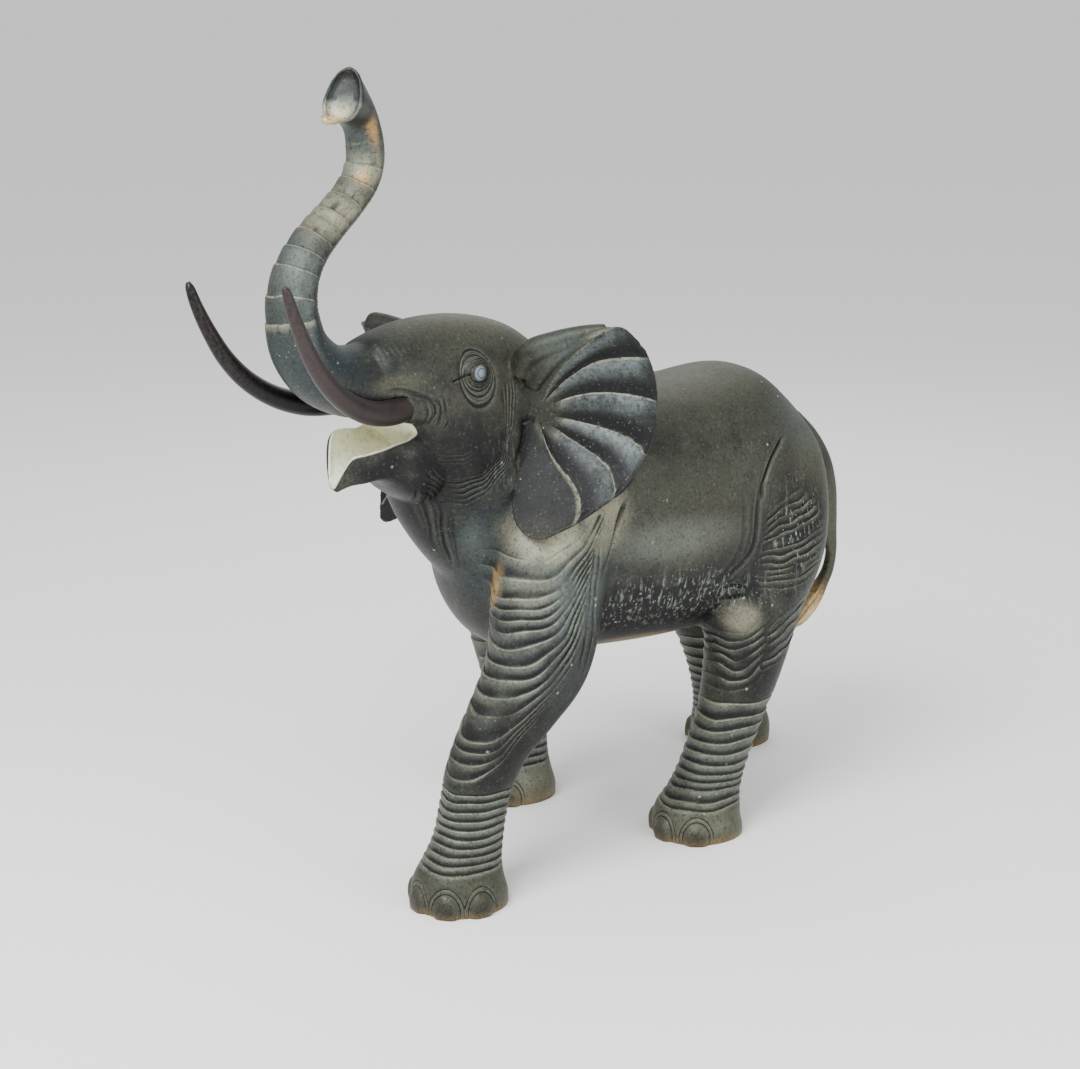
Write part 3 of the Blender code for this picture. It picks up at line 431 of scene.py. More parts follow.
# Folds that run over a flank, a neck or a thigh. A family has a kind, a first and a last line, as
# y, z seen from the side, how many lines there are, half the width and the depth of each in metres,
# and how strongly it is coloured.
HIP_GROOVE = ((0.272, 0.682), (0.250, 0.664), (0.228, 0.645), (0.205, 0.612), (0.198, 0.575))
FLANK_LINE = ((0.206, 0.640), (0.189, 0.575), (0.182, 0.508), (0.159, 0.477), (0.116, 0.448))
FLANK_FORE = ((0.155, 0.608), (0.158, 0.555), (0.150, 0.500), (0.112, 0.455), (0.070, 0.424))
THIGH_TOP = ((0.200, 0.545), (0.226, 0.564), (0.268, 0.577), (0.307, 0.592))
THIGH_MIDDLE = ((0.190, 0.499), (0.239, 0.504), (0.297, 0.516), (0.352, 0.534))
THIGH_LOW = ((0.183, 0.432), (0.233, 0.425), (0.291, 0.428), (0.345, 0.440))
KNEE_TOP = ((0.120, 0.385), (0.132, 0.362), (0.152, 0.352), (0.174, 0.356), (0.198, 0.380))
KNEE_LOW = ((0.108, 0.286), (0.130, 0.258), (0.155, 0.250), (0.185, 0.262), (0.210, 0.292))
KNEE_ARC = ((0.124, 0.432), (0.140, 0.437), (0.158, 0.436), (0.178, 0.429))
KNEE_CAP = ((0.122, 0.412), (0.138, 0.413), (0.156, 0.414), (0.178, 0.419))
CALF_TOP = ((0.196, 0.350), (0.220, 0.366), (0.265, 0.390), (0.316, 0.405))
CALF_LOW = ((0.190, 0.284), (0.220, 0.288), (0.262, 0.300), (0.306, 0.318))
SHOULDER_BACK = ((-0.068, 0.622), (-0.087, 0.586), (-0.106, 0.540), (-0.137, 0.502))
ARM_FORE = ((-0.150, 0.575), (-0.172, 0.500), (-0.190, 0.430), (-0.213, 0.350))
ARM_BACK = ((-0.122, 0.560), (-0.138, 0.480), (-0.150, 0.400), (-0.176, 0.320))
NECK_FRONT = ((-0.440, 0.665), (-0.405, 0.610), (-0.375, 0.550), (-0.345, 0.490))
NECK_BACK = ((-0.350, 0.640), (-0.335, 0.590), (-0.318, 0.540), (-0.300, 0.480))
BODY_FOLDS = (
    ("groove", HIP_GROOVE, HIP_GROOVE, 1, 0.009, 0.0085, 1.0),
    ("groove", FLANK_LINE, FLANK_LINE, 1, 0.013, 0.0045, 0.6),
    ("groove", FLANK_FORE, FLANK_FORE, 1, 0.016, 0.0025, 0.25),
    ("shingle", THIGH_TOP, THIGH_MIDDLE, 6, 0.010, 0.0044, 0.9),
    ("shingle", THIGH_MIDDLE, THIGH_LOW, 8, 0.010, 0.0040, 0.9),
    ("shingle", KNEE_TOP, KNEE_LOW, 7, 0.010, 0.0040, 0.8),
    ("shingle", CALF_TOP, CALF_LOW, 6, 0.010, 0.0042, 0.85),
    ("groove", KNEE_ARC, KNEE_ARC, 1, 0.009, 0.0050, 0.9),
    ("groove", KNEE_CAP, KNEE_CAP, 1, 0.009, 0.0050, 0.9),
    ("groove", SHOULDER_BACK, SHOULDER_BACK, 1, 0.009, 0.0045, 0.7),
    ("groove", ARM_FORE, ARM_BACK, 4, 0.010, 0.0040, 0.6),
    ("groove", NECK_FRONT, NECK_BACK, 5, 0.012, 0.0036, 0.6),
)
# The same in the head's frame.
CHEEK_INNER = ((-0.140, -0.080), (-0.122, -0.090), (-0.104, -0.092), (-0.084, -0.084))
CHEEK_LOW = ((-0.148, -0.094), (-0.126, -0.110), (-0.100, -0.114), (-0.070, -0.102))
CHEEK_MIDDLE = (
    (-0.154, -0.100),
    (-0.128, -0.122),
    (-0.096, -0.132),
    (-0.062, -0.128),
    (-0.038, -0.108),
    (-0.026, -0.070),
    (-0.030, -0.020),
)
CHEEK_OUTER = (
    (-0.204, -0.124),
    (-0.163, -0.152),
    (-0.118, -0.178),
    (-0.084, -0.184),
    (-0.048, -0.164),
    (-0.014, -0.118),
    (0.002, -0.020),
)
MUZZLE_FRONT = ((-0.186, 0.008), (-0.180, -0.012), (-0.176, -0.030), (-0.173, -0.046))
MUZZLE_BACK = ((-0.125, 0.002), (-0.120, -0.018), (-0.121, -0.038), (-0.131, -0.058))
EAR_FORE = ((-0.021, 0.012), (-0.024, -0.030), (-0.021, -0.080))
EAR_AFT = ((0.008, 0.014), (0.000, -0.030), (-0.006, -0.080))
TEAR = ((-0.084, 0.032), (-0.099, 0.028), (-0.118, 0.023))
BROW = ((-0.232, 0.022), (-0.200, 0.020), (-0.165, 0.006), (-0.140, -0.006))
TRUNK_BASE_FORE = ((-0.262, 0.070), (-0.256, 0.100), (-0.244, 0.126))
TRUNK_BASE_AFT = ((-0.160, 0.075), (-0.158, 0.100), (-0.150, 0.126))
HEAD_FOLDS = (
    ("groove", CHEEK_INNER, CHEEK_LOW, 4, 0.005, 0.0022, 0.6),
    ("groove", CHEEK_MIDDLE, CHEEK_OUTER, 7, 0.007, 0.0028, 0.8),
    ("groove", MUZZLE_FRONT, MUZZLE_BACK, 6, 0.0055, 0.0024, 0.7),
    ("groove", EAR_FORE, EAR_AFT, 5, 0.0045, 0.0022, 0.6),
    ("groove", TEAR, TEAR, 1, 0.005, 0.0040, 0.9),
    ("groove", BROW, BROW, 1, 0.010, 0.0020, 0.4),
    ("groove", TRUNK_BASE_FORE, TRUNK_BASE_AFT, 12, 0.0035, 0.0008, 0.18),
)
# Folds fade out towards each end of their line, and towards the middle of the body.
FOLD_ENDS = 0.18
# The first and last folds of a family are fainter than those between.
FAMILY_END = 0.3
FAMILY_FULL = (0.18, 0.80, 0.18)
FOLD_CLEAR = 0.030
# The hind right leg stands this much farther back than the left. So on the right, what lies on the
# hind quarters is moved back by it, which comes in between these two y.
HIND_STEP = 0.045
STEP_FROM = (0.02, 0.15)
# Rounded swellings of the hide on both sides: centre, half sizes and height. They are full to this
# share of their size.
SWELLING_FULL = 0.2
SWELLINGS = (
    ((0.200, 0.158, 0.384), (0.070, 0.038, 0.030), 0.007),
    ((0.200, 0.152, 0.424), (0.070, 0.028, 0.009), 0.004),
)
# The lids round an eye: the innermost and outermost ring, each as y, z, half width and half height.
LID_INNER = (-0.067, 0.0315, 0.0205, 0.0155)
LID_OUTER = (-0.068, 0.0235, 0.0340, 0.0440)
LID_RINGS = 6
LID_DEPTH = 0.0022
LID_SLIT = 0.0036
LID_SOFT = 0.5
LID_LEAST_SPAN = 0.1
# The dish in the end of the trunk: how far beyond the end each step of what is taken out lies, and
# its share of the end's own size. It lies above the end's middle, so that its lip is thicker.
TRUNK_DISH = ((-0.010, 0.42), (-0.008, 0.66), (-0.001, 0.82), (0.020, 0.95))
DISH_RISE = 0.003
DISH_CLEAR = (0.045, 0.060)
# How many waves a smooth chance value is made of.
DRIFT_WAVES = 7
# How far from an eye its lids reach, above the ground the nails, and from the middle the trunk.
LID_FIELD = 0.075
NAIL_FIELD = 0.075
TRUNK_FIELD = 0.13
# How far the trunk's rings waver, the size of the waves and the seed of their draws.
TRUNK_WAVE = (0.002, 0.05, 5)
# Between which lengths along the trunk its rings lose the dark and pale of other folds.
TRUNK_CALM = (0.14, 0.22)
# How far round to the front, -1 to 1, its front and its back come in, and the width of a ring's
# line. All of the trunk behind its front is painted darker, as painted shade.
TRUNK_FRONT = (0.00, 0.28)
TRUNK_BACK = (-0.45, -0.10)
RING_LINE = 0.0028
TRUNK_WRINKLE = 0.0085
TRUNK_WRINKLE_DEPTH = 0.0020
# Where the tail's tuft is: behind this y, below this z, above this z, this near the middle.
TUFT_FROM = (0.430, 0.350, 0.255, 0.040)
TUFT_STRANDS = 9
TUFT_TWIST = 12.0
TUFT_DEPTH = 0.0020
TUFT_SOFT = 0.02
TUFT_SHARPNESS = 0.8
# The eaten part of the lip under the trunk's end, in the head's frame.
LIP_SPOT = (0.016, -0.266, 0.434)
LIP_SPOT_SIZE = (0.024, 0.020, 0.014)
LIP_SPOT_EDGE = (0.6, 1.1)
LIP_BITE = 0.0018
LIP_DRIFT = (0.006, 3)
# The part of the head, in its own frame, whose mesh is made finer.
FACE_LOW = (-0.16, -0.275, -0.205)
FACE_HIGH = (0.16, 0.022, 0.105)
FACE_MIDDLE = 0.030
MOUTH_MARGIN = 0.004
MOUTH_ENDS = 0.02
# Hollows of two sizes: the rounds of averaging that find them, and the depths they show between.
# The broad ones are darkened partly as patina left in them and partly as painted shade.
CREASE_ROUNDS = 4
CREASE_DEEP = (0.0003, 0.0016)
BOWL_ROUNDS = 40
BOWL_DEEP = (0.0008, 0.006)
# How far up the skin looks, from -1 to 1, between which it grows rougher with dust.
UPWARD = (-0.15, 0.85)
# A tusk's pale ring and its paler tip, as distances from its root, and how dusty each tusk is: the
# left one dusty and so painted lighter, the right one left near black as painted shade.
TUSK_SEAM = (0.030, 0.034, 0.003)
TUSK_TIP = (0.10, 0.30)
TUSK_DUST_AND_LIGHT = {1: 1.0, -1: 0.0}
# The floor: half its side, then its colour, roughness and metallic. It is matt paper.
FLOOR_HALF = 60.0
FLOOR_PAPER = ("F8F8F6", 0.9, 0.0)
SURROUND_COLOUR = "F4F5F6"
SURROUND = 1.0
# Lights: name, place, size and power.
LIGHTS = (
    ("key", (1.0, -2.4, 3.2), 2.2, 210.0),
    ("fill", (3.4, 0.8, 1.6), 2.4, 60.0),
    ("rim", (-2.0, 1.8, 2.6), 2.0, 30.0),
)
LIGHTS_AIM = (0.0, 0.0, 0.55)
CAMERA_LENS = 78.57
CAMERA_PLACE = (3.126, -2.304, 1.549)
CAMERA_AIM = (0.300, -0.325, 0.625)
SRGB_KNEE = 0.04045
# Tints of the patina, some of them also painted light and shade, as ovals: whose frame, centre, half
# sizes and strength. One whose centre has x above 0 lies on both sides, unless it is said to be on
# the left.
PATCHES = {
    "dust_and_highlight": (
        ("head", (0.0, -0.02, 0.11), (0.12, 0.18, 0.08), 0.9),
        ("head", (0.07, 0.05, 0.04), (0.06, 0.06, 0.08), 0.6),
        # A painted highlight along the top of the brow, over the tusk's sheath.
        ("head", (0.07, -0.20, 0.030), (0.03, 0.06, 0.020), 0.8),
        ("body", (0.0, 0.15, 0.80), (0.26, 0.55, 0.22), 0.45),
        ("body", (0.20, 0.05, 0.60), (0.10, 0.20, 0.12), 0.4),
        ("body", (0.14, 0.34, 0.62), (0.10, 0.08, 0.07), 0.9),
        ("body", (0.0, 0.53, 0.45), (0.03, 0.06, 0.20), 1.0),
    ),
    "cream_and_sheen": (
        ("body", (0.17, -0.225, 0.575), (0.09, 0.080, 0.048), 0.9),
        ("body", (0.18, -0.12, 0.60), (0.10, 0.060, 0.075), 0.7),
        ("body", (0.20, -0.27, 0.50), (0.06, 0.050, 0.050), 0.3),
        ("head", (0.0, -0.250, 0.290), (0.07, 0.075, 0.060), 0.6),
        ("head", (0.0, -0.185, 0.350), (0.07, 0.050, 0.045), 0.55),
        ("body", (0.21, 0.158, 0.380), (0.06, 0.044, 0.036), 0.65),
        ("head", (0.026, -0.255, 0.446), (0.036, 0.034, 0.022), 0.95),
        # A painted sheen along the lower flank.
        ("body", (0.21, 0.01, 0.54), (0.08, 0.16, 0.04), 0.08),
        ("body", (0.160, 0.090, 0.03), (0.12, 0.10, 0.05), 0.22),
        ("body", (-0.174, -0.053, 0.03), (0.12, 0.12, 0.06), 0.35),
    ),
    "bloom_and_sheen": (
        ("body", (0.20, -0.20, 0.50), (0.09, 0.11, 0.10), 0.55),
        # A painted sheen along the lower flank.
        ("body", (0.21, 0.01, 0.54), (0.08, 0.16, 0.045), 0.4),
        ("body", (0.13, 0.33, 0.69), (0.10, 0.09, 0.07), 0.35),
        ("body", (0.12, -0.315, 0.535), (0.06, 0.040, 0.080), 1.1),
        ("head", (0.165, 0.075, 0.060), (0.08, 0.07, 0.045), 0.6),
        ("head", (0.03, -0.240, 0.470), (0.05, 0.05, 0.035), 1.0),
        ("head", (0.02, -0.215, 0.390), (0.06, 0.05, 0.045), 0.7),
        ("head", (0.0, -0.33, 0.17), (0.08, 0.06, 0.12), 0.65),
        ("body", (0.17, -0.36, 0.13), (0.10, 0.10, 0.07), 0.35),
        ("body", (0.16, 0.14, 0.13), (0.10, 0.10, 0.08), 0.4),
        ("body", (-0.16, -0.05, 0.12), (0.10, 0.10, 0.11), 0.7),
    ),
    "soot_and_shade": (
        # Dark patina, and painted shade under the belly and round the jaw and throat, where they face
        # down.
        ("body", (0.17, 0.02, 0.41), (0.13, 0.25, 0.092), 1.5),
        ("head", (0.06, -0.13, -0.14), (0.08, 0.12, 0.08), 1.3),
        ("head", (0.09, -0.09, -0.10), (0.07, 0.10, 0.09), 1.2),
        ("head", (0.05, -0.20, -0.11), (0.08, 0.11, 0.06), 1.3),
        ("body", (0.05, -0.39, 0.57), (0.11, 0.10, 0.16), 1.2),
        ("body", (0.17, 0.28, 0.50), (0.10, 0.11, 0.13), 1.4),
        ("body", (0.20, 0.19, 0.29), (0.10, 0.11, 0.08), 1.1),
        ("body", (0.20, -0.31, 0.24), (0.10, 0.12, 0.10), 1.1),
    ),
    "brown": (
        ("body", (0.16, 0.30, 0.60), (0.12, 0.10, 0.12), 0.4),
        ("body", (0.20, 0.10, 0.55), (0.08, 0.08, 0.06), 0.5),
        ("head", (0.10, -0.06, 0.00), (0.05, 0.12, 0.08), 0.4),
    ),
    "blue": (
        ("body", (0.09, -0.29, 0.54), (0.11, 0.10, 0.13), 0.6),
        ("head", (0.0, -0.32, 0.08), (0.10, 0.10, 0.10), 0.8),
        ("body", (0.18, -0.24, 0.40), (0.10, 0.11, 0.12), 0.5),
    ),
    "ochre": (
        ("body", (0.0, 0.490, 0.295), (0.04, 0.055, 0.058), 1.3),
        ("left", (0.15, -0.01, 0.349), (0.08, 0.14, 0.015), 0.8),
        ("body", (0.12, -0.285, 0.490), (0.03, 0.022, 0.050), 0.9),
        ("head", (0.018, -0.262, 0.434), (0.026, 0.020, 0.012), 1.3),
        ("head", (0.020, -0.205, 0.345), (0.020, 0.014, 0.018), 0.7),
        ("head", (0.034, -0.190, 0.410), (0.012, 0.016, 0.034), 1.1),
    ),
    "chalk": (
        ("body", (0.0, 0.485, 0.290), (0.03, 0.05, 0.045), 0.9),
        ("head", (0.018, -0.265, 0.434), (0.024, 0.018, 0.011), 1.0),
    ),
    "fleck": (
        ("body", (0.20, 0.03, 0.43), (0.12, 0.26, 0.075), 1.0),
        ("body", (0.18, 0.27, 0.51), (0.10, 0.09, 0.14), 0.9),
        ("head", (0.20, 0.10, -0.10), (0.12, 0.14, 0.14), 0.35),
        ("head", (0.08, 0.00, -0.12), (0.06, 0.06, 0.09), 0.9),
        ("head", (0.0, -0.34, 0.09), (0.08, 0.06, 0.08), 0.9),
    ),
}
# The same round every foot: height of the middle, half width, half heights leg by leg, strength.
ROUND_FEET = {
    "dust_and_highlight": (0.03, 0.12, (0.055, 0.075, 0.055, 0.075), 1.0),
    "ochre": (-0.005, 0.11, (0.022, 0.030, 0.024, 0.030), 0.9),
}
# Between which shares of its half sizes an oval fades.
PATCH_EDGE = (0.35, 1.15)

# A bronze's recipe. Its base is a colour, a roughness and how metallic it is under its patina.
# Clouds and specks are patterns by name, sized in millimetres: clouds with detail and roughness,
# specks with the share of them that shows, and both with how they are stretched. Anything else that
# is named is read from the mesh or worked out. A layer is a colour, how strongly it covers, and
# masks that are multiplied. A mask is a pattern's own value, or with two bounds it is 0 at the first
# easing to 1 at the second, or with four it runs straight from the first two to the last two.
EVEN = (1, 1, 1)
BY_MIDDLE = ("middle", 0.3, 0.7, 0.45, 1.15)
BY_FINE = ("fine", 0.3, 0.7, 0.45, 1.15)
IN_MOUTH = ("mouth", 1.02, 0.97)
ON_EYE = ("eyeball", 1.14, 1.04)
NOT_CALM = ("calm", 1.2, 0.0)
NOT_EAR = ("ear", 1.0, 0.0)
WORN_BY_MIDDLE = ("middle", 0.25, 0.6)
SPECK_SOFT = 0.02
SPECK_EDGE = (0.24, 0.08)
# Cast bronze, patinated dark and then weathered: a satin skin, near black in the creases, blue-grey
# where it has bloomed, dusty olive on top, and pale and specked where it is worn. Over it are painted
# highlights on the folds' crests and ledges, the ear lobes and the brow, a painted sheen on the flank,
# and painted shade below the ledges, behind the trunk, in broad hollows and under the belly and jaw.
HIDE = {
    "base": ("232521", 0.36, 0.55),
    # The grain of a cast skin is finer than this, and is drawn as coarse as it needs to show.
    "clouds": {
        "broad": (170, 3, 0.6, EVEN),
        "middle": (38, 6, 0.68, EVEN),
        "fine": (8, 6, 0.7, EVEN),
        "streaks": (6, 5, 0.65, (1, 1, 0.15)),
        "grit": (5, 4, 0.7, EVEN),
        "grain": (2.2, 3, 0.7, EVEN),
    },
    "specks": {
        "few": (14, 0.14, EVEN),
        "many": (7, 0.5, EVEN),
        "dashes": (8, 0.4, (1, 1, 0.3)),
        "pits": (5, 0.25, EVEN),
    },
    # A shingle's own share from its ledge down, how far it has sunk, and how far off a groove is.
    "worked_out": (
        ("fold", "FRACT", "shingle", 0.0),
        ("sunk", "POWER", "fold", SHINGLE_POWER),
        ("nearest_groove", "ROUND", "groove", 0.0),
        ("past_groove", "SUBTRACT", "groove", "nearest_groove"),
        ("off_groove", "ABSOLUTE", "past_groove", 0.0),
    ),
    "layers": (
        ("383A31", 1.0, ("broad", 0.35, 0.65)),
        ("15171A", 0.8, ("middle", 0.50, 0.66)),
        ("54564C", 0.4, ("middle", 0.46, 0.30)),
        ("342A25", 0.9, ("brown",), BY_MIDDLE),
        # Dusty olive, with the painted highlight along the brow among it.
        ("50503E", 0.9, ("dust_and_highlight",), BY_MIDDLE),
        ("28353D", 0.85, ("blue",), BY_MIDDLE),
        # Dark patina, with painted shade under the belly and round the jaw and throat.
        ("090A0B", 0.93, ("soot_and_shade",), BY_MIDDLE),
        # Blue-grey bloom and cream patina, with the painted sheen along the lower flank among them.
        ("68736F", 0.9, ("bloom_and_sheen",), BY_MIDDLE),
        ("A8A58D", 0.95, ("cream_and_sheen",), BY_MIDDLE),
        ("07080B", 0.93, ("ear",)),
        # Painted shade on the trunk's back and sides, away from its front.
        ("121415", 0.8, ("back",)),
        # Pale crests of the shingles, partly worn and partly a painted highlight where they face up,
        # the painted highlight on the upper side of each ear lobe, and painted shade where each
        # shingle faces down before the next ledge.
        ("868C7E", 0.46, ("shingle_held",), NOT_CALM, ("fold", 0.60, 0.05), WORN_BY_MIDDLE, NOT_EAR),
        ("7A8484", 0.72, ("lobe_highlight",), ("fold", 0.62, 0.0), WORN_BY_MIDDLE, ("fine", 0.15, 0.6)),
        ("07080A", 0.85, ("shingle_held",), NOT_CALM, ("fold", 0.38, 0.76), ("fold", 0.93, 0.84)),
        # The shoulders of the grooves, and the grooves.
        ("7F857A", 0.22, ("groove_held",), ("off_groove", 0.12, 0.24), ("off_groove", 0.48, 0.34)),
        ("07080A", 0.9, ("groove_held",), ("off_groove", 0.18, 0.03)),
        # A painted highlight on both sides of each ledge's pale edge, where the ledge faces up.
        ("A6A88F", 0.55, ("shingle_held",), ("fold", 0.90, 0.96), ("fine", 0.25, 0.5)),
        ("A6A88F", 0.55, ("shingle_held",), ("fold", 0.03, 0.0), ("fine", 0.25, 0.5)),
        # Broad hollows darkened partly by patina and partly as painted shade; fine creases by patina.
        ("0A0C0E", 0.65, ("hollow_patina_and_shade",)),
        ("07080A", 0.75, ("crease",)),
        ("1C1B19", 0.75, ("nail",), BY_FINE),
        ("AF8C56", 0.9, ("ochre",), BY_FINE),
        ("DDC79C", 0.9, ("chalk",), BY_FINE),
        # Specks of lime, and streaks of it down the belly.
        ("A9B0A8", 0.8, ("few",), ("fine", 0.4, 0.55)),
        ("A9B0A8", 0.8, ("many",), ("fleck",), ("fine", 0.4, 0.55)),
        ("A9B0A8", 0.8, ("dashes",), ("fleck",), ("soot_and_shade",), ("fine", 0.4, 0.55)),
        ("8A9088", 0.5, ("fleck",), ("soot_and_shade",), ("shingle_held", 0.5, 0.1), ("streaks", 0.53, 0.63)),
        # Grit and grain all over.
        ("08090A", 0.55, ("grit", 0.48, 0.34)),
        ("9DA297", 0.22, ("grit", 0.58, 0.74)),
        ("07080A", 0.45, ("grain", 0.50, 0.30)),
        ("A8AEA4", 0.16, ("grain", 0.62, 0.80)),
        ("E4E3CC", 1.0, IN_MOUTH),
        ("BE9560", 0.3, IN_MOUTH, ("middle", 0.55, 0.70)),
        ("A3B39C", 0.4, IN_MOUTH, ("fine", 0.50, 0.62)),
        ("728088", 0.9, ON_EYE),
        ("16191B", 0.7, ON_EYE, ("iris", 0.50, 0.58), ("iris", 0.70, 0.62)),
        ("16191B", 0.8, ON_EYE, ("iris", 0.80, 0.98)),
    ),
    "rougher": ((0.24, ("fine",)), (0.12, ("upward",)), (0.2, IN_MOUTH)),
    # Bumps: height in metres, below 0 where they go in, strength and masks.
    "bumps": (
        (0.0030, 0.12, ("middle",)),
        (0.0010, 0.15, ("streaks",)),
        (0.0008, 0.25, ("grit",)),
        (0.0006, 0.4, ("grain",)),
        (0.0008, 0.5, ("pits",), ("fleck",)),
        (-0.0015, 0.6, ("sunk",), ("fold", 0.98, 0.86), ("shingle_held",)),
        (-0.0008, 0.6, ("off_groove", 0.22, 0.0), ("groove_held",)),
    ),
}
# Cast bronze, patinated brown-black and rubbed smooth, with a pale ring where it is let in: darker
# and glossier than the hide.
TUSK_FINISH = {
    "base": ("0D0C0D", 0.32, 0.6),
    "clouds": {
        "middle": (34, 3, 0.6, EVEN),
        "fine": (6, 5, 0.6, EVEN),
        "grain": (3, 4, 0.7, EVEN),
    },
    "specks": {"few": (11, 0.10, EVEN)},
    "worked_out": (),
    "layers": (
        # Dust on the left tusk, painted lighter than the right one, which is left dark as painted
        # shade.
        ("38302F", 0.75, ("dusty_and_lit",)),
        ("1A1718", 0.4, ("dusty_and_lit",), ("middle", 0.5, 0.7)),
        ("5A504C", 0.25, ("tip",), ("fine", 0.3, 0.7)),
        ("8A7F69", 0.8, ("seam",), ("fine", 0.25, 0.5)),
        ("9A9A92", 0.5, ("few",)),
    ),
    "rougher": ((0.22, ("fine",)),),
    "bumps": ((0.0004, 0.25, ("grain",)),),
}

def spline(rows, steps):
    """Rows of numbers eased through by a Catmull-Rom curve, with this many steps between two."""
    rows = np.array(rows, float)
    padded = np.vstack((2 * rows[0] - rows[1], rows, 2 * rows[-1] - rows[-2]))
    out = []
    for first in range(len(rows) - 1):
        a, b, c, d = padded[first : first + 4]
        for t in np.linspace(0, 1, steps, endpoint=False):
            out.append(
                0.5 * (2 * b + (c - a) * t + (2 * a - 5 * b + 4 * c - d) * t**2)
                + 0.5 * (3 * b - a - 3 * c + d) * t**3
            )
    out.append(rows[-1])
    return np.array(out)


def closed_rim(rows, steps):
    """The same curve through angle and reach rows that come round to their start."""
    rows = np.array(rows, float)
    turn = np.array([360.0, 0.0])
    padded = np.vstack((rows[-2:] - turn, rows, rows[:2] + turn))
    eased = spline(padded, steps)
    return eased[2 * steps : (len(rows) + 2) * steps]


def skin(rings, matrix=None):
    """A closed bmesh over rings of points, with equal counts, bridged one to the next."""
    bm = bmesh.new()
    loops = []
    for points in rings:
        made = bmesh.ops.create_circle(bm, segments=len(points), radius=1.0)["verts"]
        for vert, point in zip(made, points):
            vert.co = Vector(point)
        loops.append(list({edge for vert in made for edge in vert.link_edges}))
    for first, second in zip(loops, loops[1:]):
        bmesh.ops.bridge_loops(bm, edges=first + second)
    bmesh.ops.contextual_create(bm, geom=loops[0])
    bmesh.ops.contextual_create(bm, geom=loops[-1])
    bmesh.ops.recalc_face_normals(bm, faces=bm.faces)
    if matrix is not None:
        bmesh.ops.transform(bm, matrix=matrix, verts=bm.verts)
    return bm


def section(count, fullness, flat=0.0, egg=0.0):
    """A unit section round the path: an ellipse, fuller at its corners, flatter and wider in front."""
    angle = np.arange(count) * 2 * np.pi / count
    wide, deep = np.cos(angle), np.sin(angle)
    power = 2 / fullness
    wide = np.sign(wide) * abs(wide) ** power
    deep = np.sign(deep) * abs(deep) ** power
    return wide * (1 + egg * deep), np.where(deep > 0, deep * (1 - flat), deep)


def swept(
    stations,
    steps,
    count=56,
    fullness=2.1,
    flat=0.0,
    egg=0.0,
    matrix=None,
    across=(1.0, 0.0, 0.0),
):
    """A loft along x, y, z stations, each with half width, half depth and perhaps a turn."""
    rows = spline(stations, steps)
    centres = rows[:, :3]
    tangents = np.gradient(centres, axis=0)
    tangents /= np.linalg.norm(tangents, axis=1)[:, None]
    wide, deep = section(count, fullness, flat, egg)
    rings = []
    for row, tangent in zip(rows, tangents):
        side = np.array(across) - np.dot(across, tangent) * tangent
        side /= np.linalg.norm(side)
        front = np.cross(side, tangent)
        if len(row) > 5:
            turn = math.radians(row[5])
            side, front = (
                side * math.cos(turn) + front * math.sin(turn),
                front * math.cos(turn) - side * math.sin(turn),
            )
        rings.append(
            row[:3] + np.outer(wide * row[3], side) + np.outer(deep * row[4], front)
        )
    return skin(rings, matrix)


def barrel(profile, steps, count=64, fullness=2.3, matrix=None):
    """A loft along Y through upright sections: y, top z, bottom z, half width, middle x if not 0."""
    wide, deep = section(count, fullness)
    rings = []
    for y, top, bottom, half, *aside in spline(profile, steps):
        middle, reach = (top + bottom) / 2, (top - bottom) / 2
        x = wide * half + sum(aside)
        rings.append(np.stack([x, np.full(count, y), middle + deep * reach], axis=1))
    return skin(rings, matrix)


def ball(centre, size, matrix):
    """An ellipsoid of three half sizes."""
    bm = bmesh.new()
    place = matrix @ Matrix.Translation(centre) @ Matrix.Diagonal((*size, 1.0))
    bmesh.ops.create_uvsphere(bm, u_segments=48, v_segments=28, radius=1.0, matrix=place)
    return bm


def head_place():
    """The head's own frame, turned a little to its left and tilted down on its right."""
    turn = Matrix.Rotation(math.radians(HEAD_TURN), 4, "Z")
    tilt = Matrix.Rotation(math.radians(-HEAD_TILT), 4, "Y")
    return Matrix.Translation(HEAD_PIVOT) @ turn @ tilt


def jaw_roll():
    """How the jaw hangs askew from its hinge, in the head's frame."""
    roll = Matrix.Rotation(math.radians(JAW_ROLL), 4, "Y")
    return Matrix.Translation(JAW_HINGE) @ roll @ Matrix.Translation(-JAW_HINGE)


def ear(side, matrix):
    """A flared sheet round the hub: rings out over its front face, round the rim and back."""
    rim = closed_rim(EAR_RIM, 8)
    angle = np.radians(rim[:, 0])
    rings = []
    turns = np.linspace(*EAR_EDGE_TURNS)
    edge = [(1.0 + EAR_EDGE_SWELL * math.sin(turn), math.cos(turn)) for turn in turns]
    layers = [(k / EAR_RINGS, 1.0) for k in range(1, EAR_RINGS)] + edge
    layers += [(k / EAR_RINGS, -1.0) for k in range(EAR_RINGS - 1, 0, -1)]
    for share, face in layers:
        out = rim[:, 1] * share * np.cos(angle)
        up = rim[:, 1] * share * np.sin(angle)
        back = sheet_back(out, up, side) - face * EAR_THICKNESS / 2
        rings.append(
            np.stack([side * (EAR_HUB.x + out), EAR_HUB.y + back, EAR_HUB.z + up], axis=1)
        )
    return skin(rings, matrix)


def sheet_back(out, up, side):
    """How far behind its hub an ear's sheet lies."""
    return EAR_LEAN[side] * out - EAR_CUP * up * up


